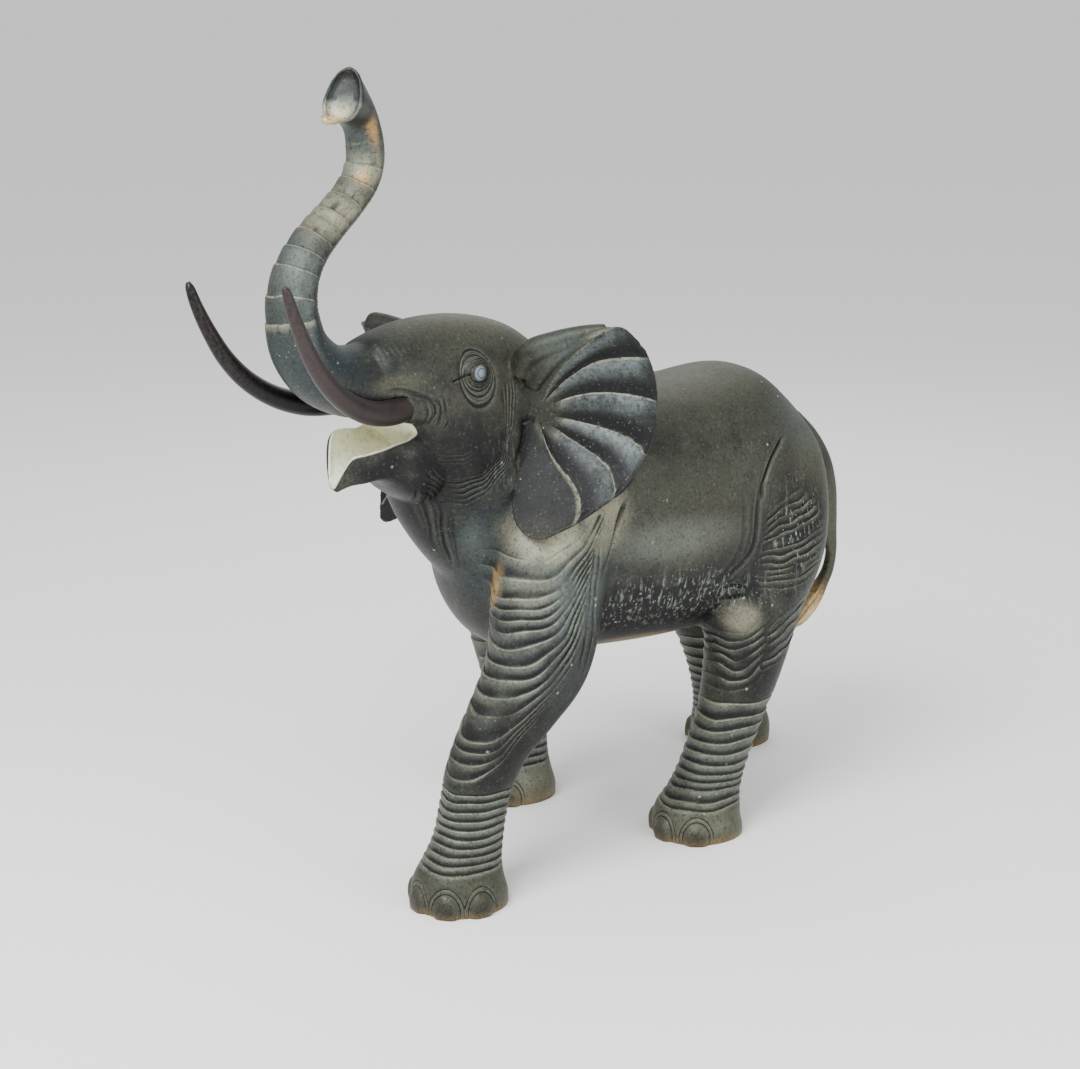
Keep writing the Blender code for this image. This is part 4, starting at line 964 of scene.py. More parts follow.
def ear_edge(rows, side, matrix):
    """A rounded form along an ear's sheet: out from the hub, up from it, how far ahead of the sheet
    it lies, half thickness and half width."""
    stations = []
    for out, up, ahead, thick, wide in rows:
        y = EAR_HUB.y + sheet_back(out, up, side) - ahead
        stations.append((out + EAR_HUB.x, y, up + EAR_HUB.z, thick, wide))
    return swept(mirrored(stations, side), 6, count=28, matrix=matrix, across=(0.0, 1.0, 0.0))


def ear_edges(side, matrix):
    """The rolled edge of an ear and the broad fold under it."""
    swell = EAR_ROLL_SWELL[side]
    sizes = [(out, up, radius + swell * max(out, 0.0)) for out, up, radius in EAR_ROLL]
    roll = ear_edge([(out, up, 0.0, size, size) for out, up, size in sizes], side, matrix)
    fold = [(out, up, EAR_FOLD_PROUD, thick, wide) for out, up, thick, wide in EAR_FOLD]
    return [roll, ear_edge(fold, side, matrix)]


def mirrored(stations, side, lift=0.0):
    """The stations with x turned to the side, 1 for left and -1 for right, and lifted."""
    return [(side * row[0], row[1], row[2] + lift, *row[3:]) for row in stations]


def tusk_form(side, matrix, grow=0.0, steps=8, count=48):
    """A tusk, or what is cut out for it when it is grown by the gap, root end too."""
    rows = []
    for number, (x, y, z, radius) in enumerate(mirrored(TUSK, side)):
        bow = TUSK_BOW[side] * math.sin(math.pi * number / (len(TUSK) - 1)) ** 2
        lift = TUSK_LIFT[side] * max(0.0, 1 - number / LIFT_FADES_BY)
        root = grow if number == 0 else 0.0
        rows.append((x, y - bow + root, z + lift, radius + grow, radius + grow))
    return swept(rows, steps, count=count, fullness=2.0, matrix=matrix)


def trunk_dish(matrix):
    """What is taken out of the end of the trunk."""
    end, before = np.array(TRUNK[-1]), np.array(TRUNK[-2])
    way = (end - before)[:3] / np.linalg.norm((end - before)[:3])
    middle = end[:3] + np.array([0.0, 0.0, DISH_RISE])
    rows = [(*(middle + way * off), *(end[3:5] * share), end[5]) for off, share in TRUNK_DISH]
    return swept(rows, 6, count=72, egg=TRUNK_EGG, matrix=matrix)


def body_masses():
    """The barrel, neck, skull and legs, which flow into each other."""
    forms = [barrel(TORSO, 8), swept(NECK, 8), barrel(SKULL, 8, matrix=head_place())]
    return forms + [swept(leg, 6) for leg in LEGS]


def added_masses(body, jaw):
    """The body and what is crisper on it."""
    head = head_place()
    forms = [
        body,
        jaw,
        swept(TRUNK, 8, flat=TRUNK_FLAT, egg=TRUNK_EGG, matrix=head),
        swept(TAIL, 6, count=32),
    ]
    forms.append(ball(TRUNK_LIP, TRUNK_LIP_SIZE, head))
    for side in (1, -1):
        forms.append(ear(side, head))
        forms.extend(ear_edges(side, head))
        forms.append(swept(mirrored(SHEATH, side, TUSK_LIFT[side]), 6, count=40, matrix=head))
        forms.append(ball((side * EYE.x, EYE.y, EYE.z), (EYE_BALL,) * 3, head))
        forms.append(ball((side * (EYE.x - LID_IN), EYE.y, EYE.z), LID_SIZE, head))
    return forms


def joined(name, forms):
    """One object from several bmeshes."""
    whole = bmesh.new()
    for form in forms:
        held = bpy.data.meshes.new("held")
        form.to_mesh(held)
        form.free()
        whole.from_mesh(held)
        bpy.data.meshes.remove(held)
    mesh = bpy.data.meshes.new(name)
    whole.to_mesh(mesh)
    whole.free()
    obj = bpy.data.objects.new(name, mesh)
    bpy.context.scene.collection.objects.link(obj)
    return obj


def bake(obj):
    """Takes the object's modifiers into its mesh."""
    graph = bpy.context.evaluated_depsgraph_get()
    old = obj.data
    obj.data = bpy.data.meshes.new_from_object(obj.evaluated_get(graph))
    obj.modifiers.clear()
    bpy.data.meshes.remove(old)


def cut(obj, forms):
    """Takes the forms out of the object."""
    cutter = joined("cutter", forms)
    take = obj.modifiers.new("take", "BOOLEAN")
    take.operation = "DIFFERENCE"
    take.solver = "EXACT"
    take.object = cutter
    bake(obj)
    bpy.data.objects.remove(cutter, do_unlink=True)


def taken(obj):
    """The object's mesh as a bmesh, and the object gone."""
    bm = bmesh.new()
    bm.from_mesh(obj.data)
    bpy.data.objects.remove(obj, do_unlink=True)
    return bm


def skewed_lip(bm):
    """The jaw's form with its tip let down on the left, put in its place on the head."""
    for vert in bm.verts:
        share = 1 - float(smoothstep(vert.co.y, LIP_TO, LIP_FROM))
        vert.co.z -= LIP_SKEW * share * vert.co.x
    bmesh.ops.transform(bm, matrix=head_place() @ jaw_roll(), verts=bm.verts)
    return bm


def scooped_jaw():
    """The lower jaw, hollowed like a spoon, its tip lower on the left."""
    jaw = joined("jaw", [skewed_lip(barrel(JAW, 8, fullness=2.6))])
    cut(jaw, [skewed_lip(barrel(SCOOP, 8, fullness=2.0))])
    return taken(jaw)


def fuse(obj, voxel, rounds):
    """Makes one skin of the object's shells and eases it."""
    remesh = obj.modifiers.new("fuse", "REMESH")
    remesh.mode = "VOXEL"
    remesh.voxel_size = voxel
    ease = obj.modifiers.new("ease", "SMOOTH")
    ease.factor = EASE_SHARE
    ease.iterations = rounds
    bake(obj)


def rounded(obj):
    """Rounds off the steps of a coarse skin."""
    finer = obj.modifiers.new("rounded", "SUBSURF")
    finer.levels = 1
    finer.render_levels = 1
    bake(obj)


def thin(obj, triangles):
    obj.data.calc_loop_triangles()
    collapse = obj.modifiers.new("thin", "DECIMATE")
    collapse.ratio = triangles / len(obj.data.loop_triangles)
    bake(obj)


def smoothstep(value, low, high):
    share = np.clip((value - low) / (high - low), 0, 1)
    return share * share * (3 - 2 * share)


def window(value, low, high, soft):
    """1 between low and high, easing to 0 over the soft length outside them."""
    return smoothstep(value, low - soft, low) * (1 - smoothstep(value, high, high + soft))


def drift(points, size, seed):
    """A smooth chance value from about -1 to 1 that changes over a size, the same each run."""
    chance = np.random.default_rng(seed)
    total = np.zeros(len(points))
    for _ in range(DRIFT_WAVES):
        way = chance.normal(size=3)
        way *= 2 * math.pi * chance.uniform(0.7, 1.4) / (size * np.linalg.norm(way))
        total += np.sin(points @ way + chance.uniform(0, 2 * math.pi))
    return total / math.sqrt(2 * DRIFT_WAVES)


def rolls(phase, sharpness):
    """How far below the crest of its roll a point lies: 0 on it, 1 in the crease at a whole number."""
    return 1 - abs(np.sin(np.pi * phase)) ** sharpness


def shingle(number):
    """How far the skin has sunk, 0 to 1: it goes down slowly and comes up at each whole number."""
    share = number - np.floor(number)
    return share**SHINGLE_POWER * (1 - smoothstep(share, 1 - LEDGE, 1))


def groove(number):
    """How far the skin has sunk, 0 to 1: in a groove at each whole number, alike on both sides."""
    off = abs(number - np.round(number))
    return 1 - smoothstep(off, 0, GROOVE_REACH)


PROFILES = {"shingle": shingle, "groove": groove}


class Relief:
    """What the folds do to each point: how deep they press it in, in metres, and for shingles and
    for grooves how many of them lie before it and how fully they are there, 0 to 1. And where the
    middles of the nails are."""

    def __init__(self, count):
        self.depth = np.zeros(count)
        self.number = {kind: np.zeros(count) for kind in PROFILES}
        self.held = {kind: np.zeros(count) for kind in PROFILES}
        self.nail = np.zeros(count)

    def lay(self, kind, chosen, number, held, deep, shown=1.0):
        """Lays folds over the chosen points. Where two families meet, the fuller one shows."""
        self.depth[chosen] += deep * PROFILES[kind](number) * held
        before = self.held[kind][chosen]
        fuller = shown * held >= before
        self.number[kind][chosen[fuller]] = number[fuller]
        self.held[kind][chosen] = abs(shown * held - before)


def limb(points, stations):
    """For each point by a limb: the angle round it from the front to its left, and how near it is."""
    rows = spline(stations, 4)
    heights = rows[::-1, 2]
    centre = [np.interp(points[:, 2], heights, rows[::-1, k]) for k in range(2)]
    half = [np.interp(points[:, 2], heights, rows[::-1, k]) for k in (3, 4)]
    x, y = points[:, 0] - centre[0], points[:, 1] - centre[1]
    reach = np.hypot(x / half[0], y / half[1])
    return np.degrees(np.arctan2(x, -y)), window(reach, 0.0, LIMB_SKIN, LIMB_SOFT)


def counted(level, ledges):
    """How many ledges, given from the top, lie above a level, going on evenly beyond the last two."""
    first, last = 2 * ledges[0] - ledges[1], 2 * ledges[-1] - ledges[-2]
    steps = -np.array([first, *ledges, last])
    return np.interp(-level, steps, range(-1, len(ledges) + 1))


def leg_folds(points, relief):
    """Drapes on the upper fore legs and rings on every shank."""
    for stations, side, ledges in SHANKS:
        low = points[:, 2] < FORE_DRAPES[0] + DRAPE_OUTER
        chosen = np.flatnonzero(low & (side * points[:, 0] > 0))
        near_points = points[chosen]
        z = near_points[:, 2]
        angle, near = limb(near_points, stations)
        wave = drift(near_points * RING_WAVES_TALL, RING_WAVES_APART, len(ledges) + side)
        level = z + RING_WAVE * wave
        number = counted(level, ledges)
        held = window(level, ledges[-1], ledges[0], FOLD_SOFT) * near
        held *= window(side * angle, *RING_REACH)
        relief.lay("shingle", chosen, number, held, RING_DEPTH)
        if stations in (FORE_LEFT, FORE_RIGHT):
            turned = (side * angle - DRAPE_TURN) / DRAPE_SPAN
            rise = np.where(turned > 0, DRAPE_OUTER, DRAPE_FRONT) * abs(turned) ** DRAPE_CURVE
            high, apart, seed = DRAPE_WAVE
            level = z - rise + high * drift(near_points, apart, seed + side)
            number = counted(level, FORE_DRAPES)
            held = window(level, FORE_DRAPES[-1], FORE_DRAPES[0], FOLD_SOFT) * near
            held *= window(turned, np.interp(z, *zip(*DRAPE_FROM)), DRAPE_REACH, DRAPE_SOFT)
            held *= FOREARM[2] + (1 - FOREARM[2]) * smoothstep(level, *FOREARM[:2])
            held *= smoothstep(side * near_points[:, 0], 2 * FOLD_CLEAR, 4 * FOLD_CLEAR)
            held *= fading(near_points, *DRAPE_FADING)
            relief.lay("shingle", chosen, number, held, DRAPE_DEPTH)


def fading(points, size, seed):
    """How a fold grows fainter and stronger along itself, 0 to 1."""
    return np.clip(FADE_MIDDLE + FADE_SWING * drift(points, size, seed), 0, 1)


def beside(flat, line):
    """How far to the left of a line each y, z point lies, and how far along it, 0 to 1."""
    path = spline(line, 4)
    least = np.full(len(flat), 1.0)
    left = np.ones(len(flat))
    along = np.zeros(len(flat))
    for number, (start, end) in enumerate(zip(path, path[1:])):
        run = end - start
        gap = flat - start
        share = np.clip(gap @ run / (run @ run), 0, 1)
        distance = np.hypot(*(gap - share[:, None] * run).T)
        closer = distance < least
        least[closer] = distance[closer]
        left[closer] = np.where(run[0] * gap[closer, 1] > run[1] * gap[closer, 0], 1, -1)
        along[closer] = (number + share[closer]) / (len(path) - 1)
    return least * left, along


def side_folds(points, families, relief, step=0.0):
    """Families of folds on both sides, each spread evenly from its first line to its last."""
    for side in (1, -1):
        behind = 0.0 if side > 0 else step * smoothstep(points[:, 1], *STEP_FROM)
        flat = np.stack([points[:, 1] - behind, points[:, 2]], axis=1)
        outward = smoothstep(side * points[:, 0], FOLD_CLEAR, 2 * FOLD_CLEAR)
        for kind, first, last, count, width, deep, shown in families:
            ends = np.array([*first, *last])
            near = ((flat > ends.min(axis=0) - width) & (flat < ends.max(axis=0) + width)).all(axis=1)
            chosen = np.flatnonzero(near & (outward > 0))
            wave = FOLD_WAVE * drift(points[chosen], FOLD_WAVES_APART, count)
            off, along = beside(flat[chosen], first)
            number = off / (2 * width)
            held = 1 - smoothstep(abs(off) / width, LONE_FULL, 1.0)
            if count > 1:
                back, on = beside(flat[chosen], last)
                way = np.sign(beside(np.array(last[1:2]), first)[0])
                past, ahead = way * off + wave, -way * back - wave
                share = past / np.maximum(past + ahead, width / 2)
                number = share * (count - 1)
                held = smoothstep(past, -width, 0) * smoothstep(ahead, -width, 0)
                held *= fading(points[chosen], FOLD_FADES_APART, count)
                held *= FAMILY_END + (1 - FAMILY_END) * window(share, *FAMILY_FULL)
                along += (on - along) * np.clip(share, 0, 1)
            held *= window(along, FOLD_ENDS, 1 - FOLD_ENDS, FOLD_ENDS) * outward[chosen]
            relief.lay(kind, chosen, number, held, deep, shown)


def lid_folds(points, relief):
    """Rings of lid round each eye, lower and wider the farther out they are, and the slit in them."""
    outward = smoothstep(abs(points[:, 0]), EYE_SHOWS_FROM, EYE_SHOWS_BY)
    near = np.hypot(points[:, 1] - EYE.y, points[:, 2] - EYE.z) < LID_FIELD
    chosen = np.flatnonzero(near & (outward > 0))
    y, z = points[chosen, 1], points[chosen, 2]
    inner, outer = (
        np.hypot((y - ring_y) / wide, (z - ring_z) / tall) - 1
        for ring_y, ring_z, wide, tall in (LID_INNER, LID_OUTER)
    )
    number = (LID_RINGS - 1) * inner / np.maximum(inner - outer, LID_LEAST_SPAN)
    held = window(number, 0.0, LID_RINGS - 1.0, LID_SOFT) * outward[chosen]
    relief.lay("groove", chosen, number, held, LID_DEPTH)
    relief.depth[chosen] += LID_SLIT * (1 - smoothstep(abs(number), 0, LID_SOFT)) * held


def nail_forms(points, relief):
    """Nails round the front of each foot, proud in the middle and with two arches round them."""
    for leg, turns in TOES:
        x, y = points[:, 0] - leg[-1][0], points[:, 1] - leg[-1][1]
        near = (np.hypot(x, y) < FOOT_REACH + NAIL_TALL) & (points[:, 2] < NAIL_FIELD)
        chosen = np.flatnonzero(near)
        angle = np.arctan2(x[chosen], -y[chosen])
        for turn in turns:
            across = (angle - math.radians(turn)) * FOOT_REACH / NAIL_HALF_WIDTH
            ring = np.hypot(across, (points[chosen, 2] - NAIL_MIDDLE) / NAIL_TALL)
            relief.depth[chosen] -= NAIL_PROUD * (1 - smoothstep(ring, NAIL_FLAT, 1.0))
            relief.nail[chosen] = np.maximum(relief.nail[chosen], 1 - smoothstep(ring, *NAIL_WORN))
            number = (ring - 1) / NAIL_ARCH
            held = window(number, 0.0, 1.0, NAIL_SOFT)
            relief.lay("groove", chosen, number, held, NAIL_GROOVE)


def ear_sheet(points, side):
    """Which points are by an ear, how far behind its sheet, round and out from its hub in degrees
    and share of the reach, and the angles of its ribs there."""
    rim = closed_rim(EAR_RIM, 4)
    order = np.argsort((rim[:, 0] + 180) % 360)
    rim_angle, rim_reach = ((rim[:, 0] + 180) % 360 - 180)[order], rim[order, 1]
    chosen = np.flatnonzero(side * points[:, 0] > EAR_FROM_X)
    out = side * points[chosen, 0] - EAR_HUB.x
    up = points[chosen, 2] - EAR_HUB.z
    back = points[chosen, 1] - EAR_HUB.y - sheet_back(out, up, side)
    angle = np.degrees(np.arctan2(up, out))
    reach = np.hypot(out, up)
    share = reach / np.interp(angle, rim_angle, rim_reach)
    held_in = np.clip(share, *EAR_SHARES)
    ribs = [np.polyval(np.polyfit(RIB_SHARES, angles, 2), held_in) for angles in EAR_RIBS]
    return chosen, back, angle, share, reach, ribs


def narrowed(number, fold, ledge):
    """A number of shingles with the ledge of each made this wide on folds that wide, in metres."""
    whole = np.floor(number)
    share = number - whole
    wide = np.clip(ledge / fold, *LEDGE_SHARES)
    slope = share / (1 - wide) * (1 - LEDGE)
    step = 1 - LEDGE + (share - 1 + wide) / wide * LEDGE
    return whole + np.where(share < 1 - wide, slope, step)


def ear_folds(points, relief):
    """The lobes of an ear between its ribs, on its front."""
    for side in (1, -1):
        chosen, back, angle, share, reach, ribs = ear_sheet(points, side)
        number = np.zeros(len(chosen))
        fold = np.full(len(chosen), 1.0)
        for first, second in zip(ribs, ribs[1:]):
            number -= np.clip((angle - first) / (second - first), 0, 1)
            inside = (angle > first) & (angle < second)
            fold[inside] = np.radians(second - first)[inside] * reach[inside]
        held = window(back, -EAR_FRONT_DEEP, 0.0, EAR_THICKNESS / 4)
        held *= window(share, *LOBES_PRESSED)
        held *= window(angle, ribs[0], ribs[-1], RIB_SOFT)
        hump = EAR_HUMP[side] * rolls(number, LOBE_SHARPNESS)
        relief.depth[chosen] += hump * held
        relief.lay("shingle", chosen, narrowed(number, fold, RIB_WIDTH), held, EAR_DEPTH[side])


def trunk_path(points):
    """Which points are on the trunk, how far along it, and how far round to its front, -1 to 1."""
    tall = (points[:, 1] < TRUNK[0][1]) & (points[:, 2] > TRUNK[0][2] - TRUNK[0][4])
    chosen = np.flatnonzero(tall & (abs(points[:, 0]) < TRUNK_FIELD))
    rows = spline(TRUNK, 6)
    gaps = np.linalg.norm(np.diff(rows[:, :3], axis=0), axis=1)
    lengths = np.concatenate(([0], np.cumsum(gaps)))
    tangent = np.gradient(rows[:, :3], axis=0)
    tangent /= np.linalg.norm(tangent, axis=1)[:, None]
    offs = points[chosen][:, None, :] - rows[None, :, :3]
    distance = np.linalg.norm(offs, axis=2)
    nearest = distance.argmin(axis=1)
    off = np.take_along_axis(offs, nearest[:, None, None], axis=1)[:, 0]
    along = lengths[nearest] + (off * tangent[nearest]).sum(axis=1)
    near = distance.min(axis=1) < rows[nearest, 3] * TRUNK_SKIN
    side = np.array([1.0, 0.0, 0.0]) - tangent[nearest] * tangent[nearest, :1]
    front = np.cross(side, tangent[nearest])
    turn = np.radians(rows[nearest, 5])[:, None]
    front = front * np.cos(turn) - side * np.sin(turn)
    facing = (off * front).sum(axis=1) / np.maximum(np.linalg.norm(off, axis=1), 1e-6)
    return chosen[near], along[near], facing[near]


def trunk_folds(points, relief):
    """Rings across the front of the trunk and fine wrinkles down its back."""
    chosen, along, facing = trunk_path(points)
    high, apart, seed = TRUNK_WAVE
    wavy = along + high * drift(points[chosen], apart, seed)
    number = -np.interp(wavy, TRUNK_RINGS, range(len(TRUNK_RINGS)))
    steps = np.diff(TRUNK_RINGS)
    fold = steps[np.clip(np.searchsorted(TRUNK_RINGS, wavy) - 1, 0, len(steps) - 1)]
    number = narrowed(number, fold, RING_LINE)
    held = window(wavy, TRUNK_RINGS[0], TRUNK_RINGS[-1], FOLD_SOFT)
    front = held * smoothstep(facing, *TRUNK_FRONT)
    relief.lay("shingle", chosen, number, front, TRUNK_DEPTH)
    back = held * (1 - smoothstep(facing, *TRUNK_BACK))
    relief.lay("groove", chosen, wavy / TRUNK_WRINKLE, back, TRUNK_WRINKLE_DEPTH)


def tail_folds(points, relief):
    """Strands down the tuft of the tail."""
    behind, top, bottom, aside = TUFT_FROM
    near = (points[:, 1] > behind) & (points[:, 2] < top) & (points[:, 2] > bottom)
    chosen = np.flatnonzero(near & (abs(points[:, 0]) < aside))
    rows = spline(TAIL, 6)[::-1]
    centre = [np.interp(points[chosen, 2], rows[:, 2], rows[:, k]) for k in range(2)]
    angle = np.arctan2(points[chosen, 0] - centre[0], points[chosen, 1] - centre[1])
    strand = TUFT_STRANDS * angle / (2 * math.pi) + TUFT_TWIST * points[chosen, 2]
    held = smoothstep(top - points[chosen, 2], 0, TUFT_SOFT)
    relief.depth[chosen] += TUFT_DEPTH * rolls(strand, TUFT_SHARPNESS) * held


def in_head(points):
    inverse = np.array(head_place().inverted())
    return points @ inverse[:3, :3].T + inverse[:3, 3]


def swellings(points, relief):
    """Rounded swellings on both sides: the knee caps and what else stands proud of the hide."""
    for centre, size, high in SWELLINGS:
        where = points.copy()
        where[:, 0] = abs(where[:, 0])
        right = points[:, 0] < 0
        where[right, 1] -= HIND_STEP * smoothstep(points[right, 1], *STEP_FROM)
        reach = np.linalg.norm((where - np.array(centre)) / np.array(size), axis=1)
        relief.depth -= high * (1 - smoothstep(reach, SWELLING_FULL, 1.0))


def relief_of(points):
    """Every fold of the hide at these points."""
    relief = Relief(len(points))
    local = in_head(points)
    swellings(points, relief)
    side_folds(points, BODY_FOLDS, relief, HIND_STEP)
    side_folds(local, HEAD_FOLDS, relief)
    lid_folds(local, relief)
    leg_folds(points, relief)
    nail_forms(points, relief)
    ear_folds(local, relief)
    trunk_folds(local, relief)
    tail_folds(points, relief)
    return relief


def read_points(mesh):
    points = np.empty(len(mesh.vertices) * 3, np.float32)
    normals = np.empty(len(mesh.vertices) * 3, np.float32)
    mesh.vertices.foreach_get("co", points)
    mesh.vertex_normals.foreach_get("vector", normals)
    return points.reshape(-1, 3).astype(float), normals.reshape(-1, 3).astype(float)


def press(obj):
    """Presses the folds into the mesh along its normals, and eats into the trunk's lower lip."""
    points, normals = read_points(obj.data)
    depth = relief_of(points).depth
    depth += LIP_BITE * corroded_lip(points) * (1 + drift(points, *LIP_DRIFT))
    points -= normals * depth[:, None]
    obj.data.vertices.foreach_set("co", points.astype(np.float32).ravel())
    obj.data.update()


def corroded_lip(points):
    """1 where the lower lip of the trunk's end is eaten, 0 away from it."""
    local = in_head(points) - np.array(LIP_SPOT)
    reach = np.linalg.norm(local / np.array(LIP_SPOT_SIZE), axis=1)
    return 1 - smoothstep(reach, *LIP_SPOT_EDGE)


def refine_face(obj):
    """Halves the mesh's squares over both sides of the face, where the folds are finest."""
    bm = bmesh.new()
    bm.from_mesh(obj.data)
    points = in_head(np.array([vert.co for vert in bm.verts]))
    low, high = np.array(FACE_LOW), np.array(FACE_HIGH)
    inside = ((points > low) & (points < high)).all(axis=1) & (abs(points[:, 0]) > FACE_MIDDLE)
    chosen = set(np.flatnonzero(inside).tolist())
    edges = [edge for edge in bm.edges if all(vert.index in chosen for vert in edge.verts)]
    bmesh.ops.subdivide_edges(bm, edges=edges, cuts=1, use_grid_fill=True)
    bm.to_mesh(obj.data)
    bm.free()


def level_soles(obj):
    """Cuts the feet off flat on the ground."""
    bm = bmesh.new()
    bm.from_mesh(obj.data)
    cut_geometry = bmesh.ops.bisect_plane(
        bm,
        geom=bm.verts[:] + bm.edges[:] + bm.faces[:],
        plane_co=(0, 0, 0),
        plane_no=(0, 0, -1),
        clear_outer=True,
    )["geom_cut"]
    rims = [item for item in cut_geometry if isinstance(item, bmesh.types.BMEdge)]
    bmesh.ops.holes_fill(bm, edges=rims, sides=0)
    bmesh.ops.triangulate(bm, faces=bm.faces)
    bm.to_mesh(obj.data)
    bm.free()


def eased_over(values, edges, counts, rounds):
    """Values per vertex, spread over the mesh by averaging with their neighbours."""
    for _ in range(rounds):
        total = np.bincount(edges[:, 0], values[edges[:, 1]], len(values))
        total += np.bincount(edges[:, 1], values[edges[:, 0]], len(values))
        values = (values + total / counts) / 2
    return values


def hollows(points, normals, edges, rounds):
    """How deep each point lies below the surface round it, in metres: less than nothing on a ridge."""
    counts = np.maximum(np.bincount(edges.ravel(), minlength=len(points)), 1)
    smooth = np.stack([eased_over(points[:, k], edges, counts, rounds) for k in range(3)], axis=1)
    return ((smooth - points) * normals).sum(axis=1)


def patches(points, name):
    """Where one tint of the patina lies, 0 to 1, from the ovals it is named with."""
    local = in_head(points)
    most = np.zeros(len(points))
    ovals = list(PATCHES[name])
    if name in ROUND_FEET:
        high, spread, halves, strength = ROUND_FEET[name]
        for leg, half in zip(LEGS, halves):
            ovals.append(("body", (*leg[-1][:2], high), (spread, spread, half), strength))
    for place, centre, size, strength in ovals:
        where = (local if place == "head" else points).copy()
        if centre[0] > 0 and place != "left":
            where[:, 0] = abs(where[:, 0])
        reach = np.linalg.norm((where - np.array(centre)) / np.array(size), axis=1)
        most = np.maximum(most, strength * (1 - smoothstep(reach, *PATCH_EDGE)))
    return most


def from_mouth(points):
    """Below 1 inside the scoop of the lower jaw and under the lip, and above 1 outside it."""
    local = in_head(points)
    inverse = np.array(jaw_roll().inverted())
    local = local @ inverse[:3, :3].T + inverse[:3, 3]
    local[:, 2] += LIP_SKEW * (1 - smoothstep(local[:, 1], LIP_TO, LIP_FROM)) * local[:, 0]
    rows = spline(SCOOP, 4)[::-1]
    top, bottom, half, aside = [np.interp(local[:, 1], rows[:, 0], rows[:, k]) for k in range(1, 5)]
    reach = np.hypot(
        (local[:, 0] - aside) / (half + MOUTH_MARGIN),
        (local[:, 2] - (top + bottom) / 2) / ((top - bottom) / 2 + MOUTH_MARGIN),
    )
    beyond = np.maximum(SCOOP[-1][0] - local[:, 1], local[:, 1] - SCOOP[0][0])
    return np.clip(np.maximum(reach, 1 + beyond / MOUTH_ENDS), 0, 3)


def write(mesh, name, values):
    made = mesh.attributes.new(name, "FLOAT", "POINT")
    made.data.foreach_set("value", values.astype(np.float32))


def patinate(obj):
    """Writes into the mesh where its folds, hollows and each tint of the patina lie, painted
    highlights and shade among them.
    """
    mesh = obj.data
    points, normals = read_points(mesh)
    edges = np.empty(len(mesh.edges) * 2, np.int32)
    mesh.edges.foreach_get("vertices", edges)
    edges = edges.reshape(-1, 2)
    relief = relief_of(points)
    for kind in PROFILES:
        write(mesh, kind, relief.number[kind])
        write(mesh, kind + "_held", relief.held[kind])
    close = hollows(points, normals, edges, CREASE_ROUNDS)
    wide = hollows(points, normals, edges, BOWL_ROUNDS)
    local = in_head(points)
    clear = smoothstep(np.linalg.norm(local - np.array(TRUNK[-1][:3]), axis=1), *DISH_CLEAR)
    write(mesh, "nail", relief.nail)
    write(mesh, "crease", smoothstep(close, *CREASE_DEEP) * clear)
    write(mesh, "hollow_patina_and_shade", smoothstep(wide, *BOWL_DEEP) * clear)
    write(mesh, "upward", smoothstep(normals[:, 2], *UPWARD))
    write(mesh, "mouth", from_mouth(points))
    eye = np.abs(local) * [1, 0, 0] + local * [0, 1, 1] - np.array(EYE)
    write(mesh, "eyeball", np.linalg.norm(eye, axis=1) / EYE_BALL)
    write(mesh, "iris", np.linalg.norm(eye[:, 1:], axis=1) / EYE_BALL)
    ears = np.zeros(len(points))
    lobes = np.zeros(len(points))
    for side in (1, -1):
        chosen, back, angle, share, _, ribs = ear_sheet(local, side)
        front = window(back, -EAR_FRONT_DEEP, 0.0, EAR_THICKNESS / 2)
        front *= 1 - smoothstep(angle, ribs[-1] - RIB_SOFT, ribs[-1] + RIB_SOFT)
        ears[chosen] = front * smoothstep(share, *EAR_DARKENS)
        # The painted highlight on the upper side of each lobe, fainter on the lowest ones.
        low, high, least = LOBES_DARK_BELOW
        lit = least + (1 - least) * smoothstep(angle, low, high)
        lobes[chosen] = ears[chosen] * window(share, *LOBES_LIT) * lit
    write(mesh, "ear", ears)
    write(mesh, "lobe_highlight", lobes)
    chosen, along, facing = trunk_path(local)
    front = np.zeros(len(points))
    front[chosen] = smoothstep(facing, *TRUNK_FRONT) * smoothstep(along, *TRUNK_CALM)
    # The trunk behind its front, where it gets painted shade.
    back = np.zeros(len(points))
    back[chosen] = (1 - smoothstep(facing, *TRUNK_FRONT)) * smoothstep(along, *TRUNK_CALM)
    write(mesh, "calm", front)
    write(mesh, "back", back)
    for tint in PATCHES:
        write(mesh, tint, patches(points, tint))


def in_linear(hex_colour):
    """A colour given as sRGB hex, as linear red, green, blue and full cover."""
    parts = [int(hex_colour[k : k + 2], 16) / 255 for k in (0, 2, 4)]
    return [*(p / 12.92 if p < SRGB_KNEE else ((p + 0.055) / 1.055) ** 2.4 for p in parts), 1.0]


def node(tree, kind, inputs=None, **settings):
    """A node with its settings, and its sockets set to values or linked to what gives them."""
    made = tree.nodes.new("ShaderNode" + kind)
    for name, value in settings.items():
        setattr(made, name, value)
    for name, value in (inputs or {}).items():
        given = value.outputs[0] if isinstance(value, bpy.types.Node) else value
        if isinstance(given, bpy.types.NodeSocket):
            tree.links.new(given, made.inputs[name])
        else:
            made.inputs[name].default_value = given
    return made


def covered(tree, patterns, strength, masks):
    """How fully a layer lies: its strength times its masks. What isn't a pattern is in the mesh."""
    total = strength
    for name, *bounds in masks:
        if name not in patterns:
            patterns[name] = node(tree, "Attribute", attribute_name=name).outputs["Fac"]
        value = patterns[name]
        if bounds:
            inputs = dict(zip(("From Min", "From Max", "To Min", "To Max"), bounds))
            easing = "SMOOTHSTEP" if len(bounds) == 2 else "LINEAR"
            value = node(tree, "MapRange", {"Value": value, **inputs}, interpolation_type=easing)
        total = node(tree, "Math", {0: total, 1: value}, operation="MULTIPLY")
    return total


